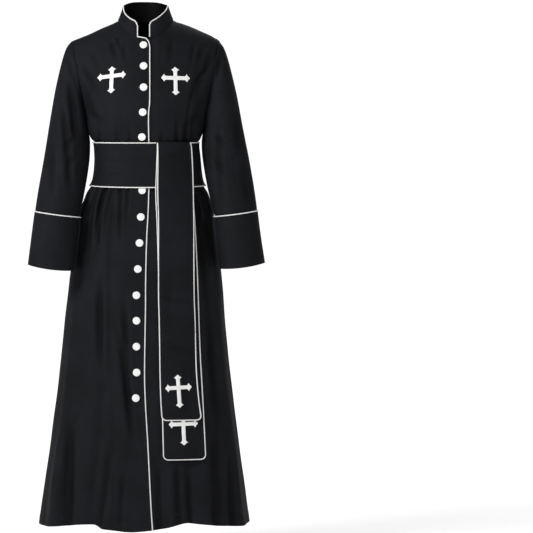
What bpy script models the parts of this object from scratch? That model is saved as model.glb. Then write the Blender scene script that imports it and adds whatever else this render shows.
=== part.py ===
"""A full-length black cassock with white piping, worn over a hollow form.

Frame: metres, +Z up, +X is the wearer's left, the front faces -Y.  The origin lies on the
shoulder line, midway between the shoulders, where the wearer holds the garment up.
Each sewn piece is a thin closed wall: its outer face is worked out from the garment's
sections, and its inner face lies one cloth thickness inside.
"""

from math import acos, asin, cos, degrees, exp, floor, pi, radians, sin, sqrt

import bmesh
import bpy
from mathutils import Vector

# ---------------------------------------------------------------- sizes (metres)
CLOTH = 0.0018          # thickness of the folded and pressed polyester twill
SEAM = 0.0003           # gap between pieces that are sewn together
PIPING = 0.0014         # radius of the white piping
BESIDE = PIPING + SEAM  # from an edge to the middle of the piping that runs along it
FRONT_SINK = PIPING * 0.35      # how far the front edge's piping lies into the cloth's level
SLOPE_STEP = 0.008      # height over which that edge's slope is measured
THROAT_BESIDE = 0.0005  # how much further from it the piping lies where it curves most
NECK_LIFT = BESIDE * 1.35       # height of the neckline's piping over the cloth's edge
THROAT_CORNER = BESIDE * 0.9    # how far out it turns the corner of the front edge, both ways
CORD_ENDS = (0.84, 0.67, 0.50, 0.33, 0.16)      # shares of the height, down a collar end
FALL_CORNER = BESIDE * 0.3      # how far the piping bulges at the lower corners of a fall

WAIST_Z = -0.381        # waist seam, hidden under the cincture
CHEST_Z = -0.220        # from here the chest and back curve in towards the shoulder seam
UNDERARM_Z = -0.256
UNDERARM_X = 0.160
SHOULDER_X = 0.199      # end of the shoulder seam
HEM_Z = -1.3635
THROAT_Z = -0.0457      # top of the overlapped front edge, between the collar ends

NECK_WIDTH = 0.076      # half width of the neckline
NECK_FRONT = 0.0796
NECK_BACK = 0.060
COLLAR_TOP_WIDTH = 0.0610
COLLAR_TOP_FRONT = 0.0600
COLLAR_TOP_BACK = 0.0600
COLLAR_END_LEFT = 0.0130
COLLAR_LEAN = (10, 60)          # degrees from the centre front over which it starts to lean in

UNDERLAP = 0.036        # how far the left front runs on under the right front
THROAT_DROP = 0.0016    # further clear space at the throat, where the form curves most
UNDERLAP_DROP = 0.0016  # clear space between the two layers of the closure
UNDERLAP_LOWER = 0.004  # its top corner lies this much below the throat
LAP_RISE = (0.006, 0.030)       # distances past the front edge over which it comes up again
THROAT_HEIGHTS = (-0.120, -0.060)       # heights between which the throat's clear space grows

BAND_TOP_Z = -0.3240
BAND_BOTTOM_Z = -0.4365
BAND_TILT_TOP = 0.030   # the band sits lower in front than at the back
BAND_TILT_BOTTOM = 0.058
BAND_CLEAR = 0.0060     # room between the bodice and the band, for the buttons
BAND_END_X = 0.0300     # the band's finished end, beside the falls
BAND_GAP = 0.005        # between its two ends, under the falls
BAND_PIPING_START = 0.001       # the piping passes its finished end by this much
BAND_PIPING_STOP = 0.116    # the band's piping runs on under the falls up to here

FULL_CLIMB = 0.220      # scale of heights below the chest line
CHEST_ROUNDING_FRONT = 1.22
CHEST_ROUNDING_BACK = 0.85
SECTION_POWER = 2.25    # 2 is an ellipse, more is squarer

NECK_ROWS = 5
NECK_STEP = pi / 2 / NECK_ROWS
SIDE_HEIGHTS = (WAIST_Z + SEAM / 2, -0.3260, -0.3155, -0.2900)   # rows of the side seam
SIDE_ROWS = len(SIDE_HEIGHTS)
ARMHOLE_ROWS = 10
BODICE_COLUMNS = 10
# Heights of the rows along the bodice's middle line, as shares of the way up from the waist.
MIDDLE_SHARES = (0.0, 0.12, 0.24, 0.36, 0.49, 0.62, 0.75, 0.87, 0.955, 1.0)
SKIRT_COLUMNS = 14
AROUND_SLEEVE = 2 * ARMHOLE_ROWS
CUFF_ROWS = 4
COLLAR_ROWS = 3
BAND_COLUMNS = 44
BAND_ROWS = 3


def table(columns, rows):
    """Turn rows of numbers into rows that are read by the names of their columns."""
    names = columns.split()
    return [dict(zip(names, row)) for row in rows]


# Half width, and how far the front and the back reach from the side seams, by height.
SECTIONS = table("z width front back", (
    (0.060, 0.220, 0.117, 0.115),
    (-0.090, 0.220, 0.117, 0.115),
    (-0.140, 0.202, 0.118, 0.115),
    (-0.180, 0.186, 0.119, 0.114),
    (-0.220, 0.171, 0.120, 0.112),
    (-0.256, 0.160, 0.118, 0.107),
    (-0.290, 0.1560, 0.113, 0.099),
    (-0.300, 0.1520, 0.111, 0.096),
    (-0.309, 0.1485, 0.109, 0.094),
    (-0.316, 0.1445, 0.108, 0.093),
    (-0.324, 0.1370, 0.107, 0.092),
    (-0.350, 0.1364, 0.105, 0.090),
    (-0.381, 0.1380, 0.104, 0.090),
    (-0.408, 0.1408, 0.104, 0.092),
    (-0.430, 0.1460, 0.105, 0.095),
    (-0.446, 0.1565, 0.106, 0.099),
    (-0.458, 0.1640, 0.108, 0.105),
    (-0.480, 0.1710, 0.112, 0.112),
    (-0.510, 0.1803, 0.117, 0.120),
    (-0.530, 0.1845, 0.120, 0.124),
    (-0.560, 0.1890, 0.123, 0.129),
    (-0.600, 0.1948, 0.127, 0.134),
    (-0.640, 0.2010, 0.131, 0.139),
    (-0.720, 0.2105, 0.137, 0.147),
    (-0.840, 0.2200, 0.146, 0.156),
    (-0.960, 0.2320, 0.156, 0.166),
    (-1.080, 0.2470, 0.167, 0.177),
    (-1.200, 0.2620, 0.178, 0.188),
    (-1.3635, 0.2830, 0.191, 0.200),
))

# Heights of the skirt's rows of points, from the waist to the hem.
SKIRT_HEIGHTS = (WAIST_Z - SEAM / 2, -0.415, -0.446, -0.459, -0.480, -0.515, -0.565, -0.630,
                 -0.710, -0.800, -0.900, -1.000, -1.100, -1.200, -1.285, HEM_Z)

# Height of the shoulder seam by distance from the middle.
SHOULDER = table("x z", (
    (0.000, 0.0400),
    (0.050, 0.0210),
    (0.076, 0.0070),
    (0.086, 0.0015),
    (0.100, -0.0043),
    (0.124, -0.0140),
    (0.151, -0.0272),
    (0.199, -0.0475),
    (0.240, -0.0680),
))

# The left shoulder is carried a little higher: its lift by distance from the middle.
LEFT_LIFT = table("x lift", (
    (0.0700, 0.0000),
    (0.0830, 0.0012),
    (0.0970, 0.0033),
    (0.1240, 0.0052),
    (0.1510, 0.0073),
    (0.1780, 0.0071),
    (0.1900, 0.0045),
    (0.2026, 0.0016),
    (0.2150, 0.0000),
))
LIFT_HEIGHTS = (-0.170, -0.040)     # heights between which the lift grows to its full size

# At and below the waist the garment hangs a little towards the wearer's left.
SWAY = table("z x", (
    (-0.290, 0.0000),
    (-0.325, 0.0015),
    (-0.370, 0.0055),
    (-0.420, 0.0065),
    (-0.450, 0.0050),
    (-0.480, 0.0035),
    (-0.560, 0.0032),
    (-0.620, 0.0025),
    (-0.720, 0.0008),
    (-0.900, 0.0000),
))

# The piped edge of the right front wanders a little as it hangs.
FRONT_EDGE = table("z x", (
    (0.0000, 0.0000),
    (-0.0440, 0.0010),
    (-0.0500, 0.0050),
    (-0.0590, 0.0083),
    (-0.0720, 0.0095),
    (-0.2150, 0.0095),
    (-0.2450, 0.0066),
    (-0.2900, 0.0066),
    (-0.3800, 0.0085),
    (-0.4800, 0.0066),
    (-0.5300, 0.0044),
    (-0.5850, 0.0014),
    (-0.7000, -0.0014),
    (-0.7600, -0.0016),
    (-0.9500, -0.0041),
    (-1.0300, -0.0014),
    (-1.1200, 0.0040),
    (-1.2300, 0.0095),
    (-1.3000, 0.0130),
    (-1.3635, 0.0172),
))

# The hem hangs unevenly: its rise by angle from the centre front.
HEM = table("angle rise", (
    (-100, 0.0080),
    (-76, 0.0045),
    (-58, 0.0070),
    (-41, 0.0152),
    (-27, 0.0180),
    (-23, 0.0090),
    (-18, 0.0055),
    (-6, 0.0005),
    (2, 0.0045),
    (10, 0.0112),
    (15, 0.0180),
    (20, 0.0232),
    (27, 0.0200),
    (43, 0.0126),
    (64, 0.0071),
    (81, 0.0110),
    (100, 0.0110),
    (118, 0.0060),
    (135, -0.0020),
    (165, -0.0040),
    (180, -0.0010),
    (195, -0.0040),
    (225, -0.0030),
    (242, 0.0040),
    (260, 0.0080),
))
HEM_RISE_TOP = -1.080   # above this height the cloth hangs level
FOLD_STARTS = 0.10      # height over which a fold comes in
FOLD_ENDS = 0.25        # height over which it fades

# Height of the collar's top by angle from the centre front, round the wearer's right side.
COLLAR = table("angle z", (
    (-18.0, -0.0095),
    (-21.0, -0.0014),
    (-24.5, 0.0030),
    (-29.0, 0.0055),
    (-43.0, 0.0113),
    (-63.0, 0.0213),
    (-76.0, 0.0310),
    (-90.0, 0.0460),
    (-114.0, 0.0529),
    (-136.0, 0.0590),
    (-152.0, 0.0616),
    (-180.0, 0.0623),
    (-205.0, 0.0611),
    (-220.0, 0.0587),
    (-240.0, 0.0536),
    (-270.0, 0.0465),
    (-281.0, 0.0415),
    (-298.0, 0.0302),
    (-319.0, 0.0192),
    (-335.0, 0.0095),
    (-346.7, 0.0013),
    (-348.5, -0.0015),
    (-350.2, -0.0065),
))
COLLAR_CORNERS = (-21.0, -24.5, -29.0, -346.7, -348.5)     # further columns where its ends round off

# Soft folds of the skirt: their angle from the centre front at the waist and at the hem
# (negative is the wearer's right), half width in degrees, depth at the waist and at the hem
# (positive is a trough), and the heights between which each one shows.
FOLDS = table("name waist hem spread depth_waist depth_hem top bottom", (
    ("right_waist_pleat", -44, -50, 5.0, 0.0080, 0.0010, -0.400, -0.850),
    ("right_long_pleat", -27, -15, 4.0, 0.0060, 0.0050, -0.400, -1.400),
    ("right_hem_step", -22, -27, 4.5, 0.0000, 0.0110, -0.900, -1.400),
    ("right_side_valley", -50, -50, 6.0, 0.0000, 0.0100, -0.800, -1.400),
    ("right_side_ridge", -62, -64, 6.0, 0.0000, -0.0060, -0.700, -1.400),
    ("right_side_flare", -88, -88, 12.0, 0.0000, -0.0060, -0.700, -1.400),
    ("left_inner_valley", 9, 9, 4.5, 0.0000, 0.0060, -1.020, -1.400),
    ("left_outer_valley", 26, 24, 5.0, 0.0050, 0.0100, -0.850, -1.400),
    ("left_waist_pleat", 46, 52, 5.0, 0.0070, 0.0070, -0.400, -1.400),
    ("left_side_ridge", 66, 66, 6.0, 0.0000, -0.0060, -0.700, -1.400),
    ("left_gather", 62, 66, 4.5, 0.0050, 0.0000, -0.400, -0.800),
    ("right_gather", -60, -66, 4.5, 0.0050, 0.0000, -0.400, -0.800),
    ("back_left_gather", 132, 130, 4.5, 0.0060, 0.0000, -0.400, -0.800),
    ("back_left_small_gather", 164, 162, 4.5, 0.0050, 0.0000, -0.400, -0.750),
    ("back_right_small_gather", 195, 196, 4.5, 0.0060, 0.0000, -0.400, -0.750),
    ("back_right_gather", 224, 222, 4.5, 0.0060, 0.0000, -0.400, -0.800),
    ("back_left_outer", 118, 122, 5.0, 0.0060, 0.0100, -0.400, -1.400),
    ("back_left_inner", 147, 145, 5.0, 0.0070, 0.0090, -0.400, -1.400),
    ("back_centre", 180, 182, 4.0, 0.0080, 0.0030, -0.400, -1.250),
    ("back_right_inner", 210, 207, 5.0, 0.0070, 0.0090, -0.400, -1.400),
    ("back_right_outer", 240, 236, 5.0, 0.0070, 0.0130, -0.400, -1.400),
))

# Sleeve rings: the point of each ring furthest out and furthest in, half its depth, and how
# far forward its middle hangs.  The first ring is the armhole itself.
SLEEVE_RINGS = table("out_x out_z in_x in_z depth forward", (
    (0.2130, -0.0640, 0.1612, -0.2620, 0.0520, 0.0000),
    (0.2240, -0.0930, 0.1612, -0.2680, 0.0560, 0.0010),
    (0.2355, -0.1380, 0.1606, -0.2760, 0.0590, 0.0020),
    (0.2475, -0.1930, 0.1590, -0.2860, 0.0600, 0.0040),
    (0.2590, -0.2520, 0.1565, -0.3000, 0.0600, 0.0060),
    (0.2700, -0.3100, 0.1530, -0.3260, 0.0590, 0.0110),
    (0.2810, -0.3680, 0.1555, -0.3720, 0.0570, 0.0210),
    (0.2915, -0.4350, 0.1665, -0.4420, 0.0550, 0.0390),
    (0.3010, -0.5070, 0.1870, -0.5225, 0.0540, 0.0620),
))
CUFF_END = dict(out_x=0.3205, out_z=-0.6470, in_x=0.1975, in_z=-0.6630, depth=0.0540,
                forward=0.0900)
RIGHT_SLEEVE_SWAY = 0.0042      # the right sleeve hangs this much closer to the body
SWAY_HEIGHTS = (-0.150, -0.400)
RIGHT_SLEEVE_INNER = table("z x", (        # its inner edge lies this much closer still
    (-0.435, 0.0000),
    (-0.507, 0.0048),
    (-0.580, 0.0030),
    (-0.647, 0.0000),
))
RIGHT_SLEEVE_DROP = 0.005       # and its cuff ends this much lower
DROP_HEIGHTS = (-0.400, -0.650)
CUFF_SAG = 0.0045       # how much lower the front of a cuff hangs at its end
SAG_HEIGHTS = (-0.420, -0.650)
CUFF_PROUD = 0.0012     # the cuff is a second layer, so it stands a little proud of the sleeve

FALLS = {
    "front": table("z left right", (
        (-0.3220, 0.0340, 0.1190),
        (-0.3400, 0.0348, 0.1222),
        (-0.3900, 0.0350, 0.1250),
        (-0.4400, 0.0345, 0.1264),
        (-0.4800, 0.0352, 0.1268),
        (-0.5100, 0.0364, 0.1272),
        (-0.5600, 0.0370, 0.1277),
        (-0.6200, 0.0366, 0.1278),
        (-0.7400, 0.0368, 0.1285),
        (-0.8000, 0.0384, 0.1308),
        (-0.8700, 0.0396, 0.1322),
        (-0.9400, 0.0406, 0.1346),
        (-1.0100, 0.0426, 0.1405),
        (-1.0640, 0.0460, 0.1478),
    )),
    "rear": table("z left right", (
        (-0.3335, 0.0340, 0.1190),
        (-0.4600, 0.0295, 0.1255),
        (-0.5300, 0.0325, 0.1300),
        (-0.6000, 0.0348, 0.1340),
        (-0.6800, 0.0368, 0.1374),
        (-0.7500, 0.0397, 0.1398),
        (-0.8300, 0.0415, 0.1423),
        (-0.9000, 0.0430, 0.1453),
        (-0.9700, 0.0448, 0.1493),
        (-1.0400, 0.0468, 0.1530),
        (-1.1200, 0.0488, 0.1570),
        (-1.1690, 0.0500, 0.1590),
    )),
}
FALL_CLEAR = {"rear": 0.0092, "front": 0.0137}     # inner face, measured out from the skirt
FALL_SETTLE = 0.0045    # how much closer to the skirt they hang once clear of the band
SETTLE_HEIGHTS = (-0.46, -0.62)
FALL_HEIGHTS = (-0.340, -0.370, -0.405, BAND_BOTTOM_Z) + SKIRT_HEIGHTS[3:]
FALL_COLUMNS = 8

# Buttons down the front: height, and distance from the piped edge.
FRONT_BUTTONS = table("z inset", (
    (-0.0620, 0.0142),
    (-0.1190, 0.0150),
    (-0.1765, 0.0150),
    (-0.2430, 0.0140),
    (-0.3090, 0.0165),
    (-0.3820, 0.0175),
    (-0.4530, 0.0162),
    (-0.5240, 0.0171),
    (-0.5935, 0.0170),
    (-0.6630, 0.0198),
    (-0.7330, 0.0227),
    (-0.8010, 0.0219),
    (-0.8700, 0.0207),
    (-0.9390, 0.0195),
    (-1.0070, 0.0231),
))
BUTTON_RADIUS = 0.0103
BUTTON_HEIGHT = 0.0032
BUTTON_SIDES = 10
BUTTON_LIFT = 0.0012

# Cuff buttons: share of the way down the cuff, and angle from the outer side to the back.
CUFF_BUTTONS = table("down angle", (
    (0.16, 40),
    (0.47, 41),
    (0.80, 42),
))

# Crosses: centre, length above and below it, half span, how much the bar rises and the
# stem leans for each unit of its length.
CROSSES = table("name x z up down span rise lean", (
    ("cross_chest_right", -0.0905, -0.1460, 0.0250, 0.0455, 0.0375, 0.117, 0.037),
    ("cross_chest_left", 0.0800, -0.1515, 0.0290, 0.0455, 0.0375, -0.027, -0.026),
    ("cross_fall_front", 0.0880, -0.9790, 0.0340, 0.0530, 0.0350, 0.049, -0.070),
    ("cross_fall_rear", 0.1010, -1.0760, 0.0340, 0.0560, 0.0385, 0.028, -0.038),
))
# One arm of a cross: distance left to the tip, and half width there.
CROSS_TIP = table("left half", (
    (0.0125, 0.0050),
    (0.0095, 0.0066),
    (0.0070, 0.0105),
    (0.0048, 0.0062),
    (0.0000, 0.0012),
))
CROSS_BAR = 0.0056
CROSS_THICK = 0.0012
CROSS_LIFT = 0.0006


def smooth(rows, key, at, column):
    """Read a column at any height, on a smooth curve through the rows of a table."""
    if rows[0][key] > rows[-1][key]:
        rows = rows[::-1]
    last = len(rows) - 1
    if at <= rows[0][key]:
        return rows[0][column]
    if at >= rows[last][key]:
        return rows[last][column]
    i = max(k for k in range(last) if rows[k][key] <= at)

    def slope(k):
        low, high = rows[max(k - 1, 0)], rows[min(k + 1, last)]
        return (high[column] - low[column]) / (high[key] - low[key])

    a, b = rows[i], rows[i + 1]
    span = b[key] - a[key]
    t = (at - a[key]) / span
    return ((1 + 2 * t) * (1 - t) ** 2 * a[column] + t * (1 - t) ** 2 * span * slope(i)
            + t * t * (3 - 2 * t) * b[column] - t * t * (1 - t) * span * slope(i + 1))


def ease(value, low, high):
    """Rise smoothly from 0 at low to 1 at high."""
    t = min(max((value - low) / (high - low), 0.0), 1.0)
    return t * t * (3 - 2 * t)


# ---------------------------------------------------------------- the garment's form
def section(z, column):
    return smooth(SECTIONS, "z", z, column)


def shoulder_z(x):
    return smooth(SHOULDER, "x", abs(x), "z")


def edge_x(z):
    return smooth(FRONT_EDGE, "z", z, "x")


def reach(x, z, back):
    """How far the bodice's outer face lies from the plane of the side seams."""
    share = min(abs(x) / section(z, "width"), 1.0)
    flat = (1 - share ** SECTION_POWER) ** (1 / SECTION_POWER)
    depth = section(z, "back" if back else "front") * flat
    if z <= CHEST_Z:
        return depth
    rounding = CHEST_ROUNDING_BACK if back else CHEST_ROUNDING_FRONT
    return depth * cos(asin(min(climb(x, z), 1.0))) ** rounding


def climb(x, z):
    """Height above the chest line as a share of the height of the shoulder seam there."""
    full = shoulder_z(x) - CHEST_Z
    return (z - CHEST_Z) / (full if z > CHEST_Z else FULL_CLIMB)


def climb_z(x, share):
    return CHEST_Z + share * (shoulder_z(x) - CHEST_Z if share > 0 else FULL_CLIMB)


def body_point(x, z, back, out=0.0):
    """A point on the bodice, moved out from it by a distance."""
    sign = 1 if back else -1
    step = 0.002
    here = Vector((x, sign * reach(x, z, back), z))
    if not out:
        return here
    across = Vector((x + step, sign * reach(x + step, z, back), z)) \
        - Vector((x - step, sign * reach(x - step, z, back), z))
    along = Vector((x, sign * reach(x, z + step, back), z + step)) \
        - Vector((x, sign * reach(x, z - step, back), z - step))
    normal = across.cross(along).normalized()
    if normal.y * sign < 0:
        normal = -normal
    return here + normal * out


def neck_point(angle):
    """The neckline, by angle from the centre front; negative is the wearer's right."""
    x = NECK_WIDTH * sin(angle)
    back = cos(angle) < 0
    depth = (NECK_BACK if back else NECK_FRONT) * abs(cos(angle))
    share = abs(x) / section(0.0, "width")
    flat = (1 - share ** SECTION_POWER) ** (1 / SECTION_POWER)
    full = section(0.0, "back" if back else "front") * flat
    turn = (depth / full) ** (1 / (CHEST_ROUNDING_BACK if back else CHEST_ROUNDING_FRONT))
    z = CHEST_Z + (shoulder_z(x) - CHEST_Z) * sqrt(1 - turn * turn)
    return Vector((x, depth if back else -depth, z))


def armhole_point(step, back):
    """The armhole on the +X side; step 0 is the underarm, ARMHOLE_ROWS is the shoulder."""
    share = (1 - cos(pi * step / ARMHOLE_ROWS)) / 2
    x = UNDERARM_X + (SHOULDER_X - UNDERARM_X) * share
    z = UNDERARM_Z + (shoulder_z(SHOULDER_X) - UNDERARM_Z) * share
    return x, z


def fold_depth(angle, z):
    """How far the folds push the skirt in (positive) or out, at an angle in degrees."""
    total = 0.0
    for fold in FOLDS:
        down = ease(z, WAIST_Z, HEM_Z)
        middle = fold["waist"] + (fold["hem"] - fold["waist"]) * down
        apart = (angle - middle + 180) % 360 - 180
        depth = fold["depth_waist"] + (fold["depth_hem"] - fold["depth_waist"]) * down
        shows = ease(z, fold["top"], fold["top"] - FOLD_STARTS)
        if fold["bottom"] > HEM_Z:
            shows *= 1 - ease(z, fold["bottom"] + FOLD_ENDS, fold["bottom"])
        total += depth * shows * exp(-(apart / fold["spread"]) ** 2)
    return total


def sway(turn, z):
    """How far the garment hangs to the wearer's left, at an angle in radians and a height."""
    return smooth(SWAY, "z", z, "x") * sin(turn) ** 2


def hem_rise(angle, z):
    """How far the uneven hem lifts the skirt at an angle and a height."""
    turn = (angle + 100) % 360 - 100
    return smooth(HEM, "angle", turn, "rise") * ease(z, HEM_RISE_TOP, HEM_Z)


def skirt_point(angle, z, out=0.0, folded=True):
    """A point on the skirt, by angle in degrees from the centre front."""
    turn = radians(angle)
    width = section(z, "width")
    depth = section(z, "back" if cos(turn) < 0 else "front")
    power = 2 / SECTION_POWER
    x = width * abs(sin(turn)) ** power * (1 if sin(turn) >= 0 else -1)
    y = -depth * abs(cos(turn)) ** power * (1 if cos(turn) >= 0 else -1)
    normal = Vector((x / width ** 2, y / depth ** 2, 0)).normalized()
    x += sway(turn, z)
    if not folded:
        return Vector((x, y, z)) + normal * out
    level = Vector((x, y, z + hem_rise(angle, z)))
    return level + normal * (out - fold_depth(angle, z))


def skirt_angle(x, z):
    """The angle at which the front of the skirt crosses a given x."""
    share = min(abs(x) / section(z, "width"), 1.0) ** (SECTION_POWER / 2)
    return degrees(asin(share)) * (1 if x >= 0 else -1)


def front_point(x, z, out):
    """A point in front of the closure, the bodice or the skirt, moved out by a distance."""
    if z > WAIST_Z:
        return body_point(x, z, False, out)
    return skirt_point(skirt_angle(x, z), z, out)


# ---------------------------------------------------------------- making solids
def clear_scene():
    for item in list(bpy.data.objects):
        bpy.data.objects.remove(item, do_unlink=True)


def material(name, colour, roughness):
    made = bpy.data.materials.new(name)
    made.use_nodes = True
    shader = made.node_tree.nodes["Principled BSDF"]
    shader.inputs["Base Color"].default_value = (*colour, 1.0)
    shader.inputs["Roughness"].default_value = roughness
    shader.inputs["Metallic"].default_value = 0.0
    return made


def lift_left(bm):
    """Raise what lies on the left shoulder."""
    for vert in bm.verts:
        x, z = vert.co.x, vert.co.z
        if x > 0:
            vert.co.z = z + smooth(LEFT_LIFT, "x", x, "lift") * ease(z, *LIFT_HEIGHTS)


def add_object(name, bm, collection, look):
    mesh = bpy.data.meshes.new(name)
    lift_left(bm)
    bmesh.ops.recalc_face_normals(bm, faces=bm.faces)
    bm.to_mesh(mesh)
    bm.free()
    mesh.shade_smooth()
    mesh.set_sharp_from_angle(angle=radians(40))
    mesh.materials.append(look.copy())
    mesh.materials[0].name = name
    item = bpy.data.objects.new(name, mesh)
    collection.objects.link(item)
    return item


def grid_normals(grid, ring):
    """Outward normals of a grid of points; the caller's grid runs so that they point out."""
    rows, columns = len(grid), len(grid[0])
    normals = []
    for i in range(rows):
        line = []
        for j in range(columns):
            if ring:
                left, right = grid[i][j - 1], grid[i][(j + 1) % columns]
            else:
                left, right = grid[i][max(j - 1, 0)], grid[i][min(j + 1, columns - 1)]
            below, above = grid[max(i - 1, 0)][j], grid[min(i + 1, rows - 1)][j]
            line.append((right - left).cross(above - below).normalized())
        normals.append(line)
    return normals


def wall(name, grid, collection, look, thickness=CLOTH, ring=False, flat=None, outward=None):
    """A closed wall: grid is its outer face, and the inner face lies one thickness in.

    flat(i, j) gives the normal of the seam plane at a rim point, in which the edge lies.
    outward is a direction at the grid's middle that points out of the garment.
    """
    normals = grid_normals(grid, ring)
    rows, columns = len(grid), len(grid[0])
    middle = normals[rows // 2][columns // 2]
    sign = 1 if middle.dot(outward) > 0 else -1
    bm = bmesh.new()
    outer, inner = [], []
    for i in range(rows):
        outer.append([bm.verts.new(p) for p in grid[i]])
        line = []
        for j in range(columns):
            normal = normals[i][j] * sign
            plane = flat(i, j) if flat else None
            if plane is not None:
                normal = (normal - plane * normal.dot(plane)).normalized()
            line.append(bm.verts.new(grid[i][j] - normal * thickness))
        inner.append(line)
    across = columns if ring else columns - 1
    for i in range(rows - 1):
        for j in range(across):
            k = (j + 1) % columns
            bm.faces.new((outer[i][j], outer[i][k], outer[i + 1][k], outer[i + 1][j]))
            bm.faces.new((inner[i][j], inner[i + 1][j], inner[i + 1][k], inner[i][k]))
    for j in range(across):
        k = (j + 1) % columns
        bm.faces.new((outer[0][j], inner[0][j], inner[0][k], outer[0][k]))
        bm.faces.new((outer[-1][j], outer[-1][k], inner[-1][k], inner[-1][j]))
    if not ring:
        for i in range(rows - 1):
            bm.faces.new((outer[i][0], outer[i + 1][0], inner[i + 1][0], inner[i][0]))
            bm.faces.new((outer[i][-1], inner[i][-1], inner[i + 1][-1], outer[i + 1][-1]))
    return add_object(name, bm, collection, look)


def piping(name, points, collection, look, closed=False):
    """A run of piping: a round tube along the points."""
    curve = bpy.data.curves.new(name, "CURVE")
    curve.dimensions = "3D"
    curve.bevel_depth = PIPING
    curve.bevel_resolution = 1
    curve.use_fill_caps = not closed
    spline = curve.splines.new("POLY")
    spline.points.add(len(points) - 1)
    for slot, point in zip(spline.points, points):
        slot.co = (*point, 1.0)
    spline.use_cyclic_u = closed
    look = look.copy()
    look.name = name
    curve.materials.append(look)
    item = bpy.data.objects.new(name, curve)
    collection.objects.link(item)
    return item


X_AXIS = Vector((1, 0, 0))
Y_AXIS = Vector((0, 1, 0))
Z_AXIS = Vector((0, 0, 1))


# ---------------------------------------------------------------- bodice and skirt
def under_drop(x, z):
    """How far the left front lies inside the form, where the right front laps over it."""
    start = edge_x(z)
    drop = CLOTH + UNDERLAP_DROP + THROAT_DROP * ease(z, *THROAT_HEIGHTS)
    return drop * (1 - ease(x - start, *LAP_RISE))


def bodice_heights(top):
    """Heights of the bodice's rows of points along its middle line, from the waist up."""
    waist = WAIST_Z + SEAM / 2
    return [waist + (top - waist) * share for share in MIDDLE_SHARES]


def bodice(name, sign, back, collection, look):
    """One quarter of the bodice.  Rows run up from the waist to the shoulder seam."""
    total = SIDE_ROWS + ARMHOLE_ROWS
    underlaps = not back and sign > 0
    shift = UNDERLAP if underlaps else 0.0

    def middle_x(z):
        return SEAM / 2 if back else sign * edge_x(z) - shift

    top = THROAT_Z if not back else neck_point(pi).z
    if underlaps:
        top -= UNDERLAP_LOWER
    centre = [(middle_x(z), z) for z in bodice_heights(top)]
    for i in range(1, NECK_ROWS + 1):
        angle = NECK_STEP * i
        point = neck_point(pi - angle if back else angle)
        centre.append((point.x, point.z))
    sides = [(section(z, "width"), z) for z in SIDE_HEIGHTS]
    for i in range(ARMHOLE_ROWS + 1):
        sides.append(armhole_point(i, back))
    direction = 1 if back else -1
    grid = []
    for i, (mid, side) in enumerate(zip(centre, sides)):
        line = []
        upper = ease(i, SIDE_ROWS, total)
        for j in range(BODICE_COLUMNS + 1):
            u = j / BODICE_COLUMNS
            s = sin(u * pi / 2) * (1 - upper) + u * upper
            x = mid[0] + (side[0] - mid[0]) * s
            low, high = climb(*mid), climb(*side)
            z = climb_z(x, min(low + (high - low) * s, 1.0))
            y = reach(x, z, back)
            if i == total:
                z = shoulder_z(x)
                y = 0.0
            elif j == BODICE_COLUMNS and i <= SIDE_ROWS:
                y = 0.0
            if underlaps:
                y -= under_drop(x, z)
            y = max(y, SEAM / 2)
            share = min(abs(x) / section(z, "width"), 1.0)
            hang = smooth(SWAY, "z", z, "x") * share ** SECTION_POWER
            line.append(Vector((sign * x + hang, direction * y, z)))
        grid.append(line)

    armhole = armhole_plane(sign)

    def flat(i, j):
        if i == total:
            return Y_AXIS
        if j == BODICE_COLUMNS:
            return Y_AXIS if i <= SIDE_ROWS else armhole
        if i == 0:
            return Z_AXIS
        if j == 0 and back:
            return X_AXIS
        return None

    wall(name, grid, collection, look, flat=flat, outward=Vector((0, direction, 0)))


def armhole_plane(sign):
    """Unit normal of the plane in which the armhole seam lies."""
    along = Vector((SHOULDER_X - UNDERARM_X, 0, shoulder_z(SHOULDER_X) - UNDERARM_Z)).normalized()
    normal = Vector((along.z, 0, -along.x))
    return Vector((sign * normal.x, 0, normal.z))


def skirt_panel(name, start, end, collection, look, under=False):
    """A skirt panel between two angles; start or end may be a function of the height."""
    grid = []
    for z in SKIRT_HEIGHTS:
        first, last = start(z), end(z)
        line = []
        for j in range(SKIRT_COLUMNS + 1):
            angle = first + (last - first) * j / SKIRT_COLUMNS
            drop = 0.0
            if under:
                x = section(z, "width") * sin(radians(angle))
                drop = under_drop(x, z)
            line.append(skirt_point(angle, z, -drop))
        grid.append(line)

    def flat(i, j):
        if i == 0:
            return Z_AXIS
        angle = round(start(HEM_Z) if j == 0 else end(HEM_Z))
        if j in (0, SKIRT_COLUMNS) and angle % 180 == 90:
            return Y_AXIS
        if j in (0, SKIRT_COLUMNS) and angle % 360 == 180:
            return X_AXIS
        return None

    middle = grid[len(grid) // 2][SKIRT_COLUMNS // 2]
    wall(name, grid, collection, look, flat=flat, outward=Vector((middle.x, middle.y, 0)))


def seam_angle(angle, sign):
    """Keep half a seam's gap from a seam at an angle; sign says on which side of it."""
    return lambda z: angle + sign * degrees(SEAM / 2 / section(z, "front"))


def make_bodice_and_skirt(collection, look):
    bodice("front_right_bodice", -1, False, collection, look)
    bodice("front_left_bodice", 1, False, collection, look)
    bodice("back_right_bodice", -1, True, collection, look)
    bodice("back_left_bodice", 1, True, collection, look)
    skirt_panel("skirt_front_right", lambda z: skirt_angle(edge_x(z), z),
                seam_angle(-90, 1), collection, look)
    skirt_panel("skirt_front_left", lambda z: skirt_angle(edge_x(z) - UNDERLAP, z),
                seam_angle(90, -1), collection, look, under=True)
    skirt_panel("skirt_back_left", seam_angle(90, 1), seam_angle(180, -1), collection, look)
    skirt_panel("skirt_back_right", seam_angle(180, 1), seam_angle(270, -1), collection, look)


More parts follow.
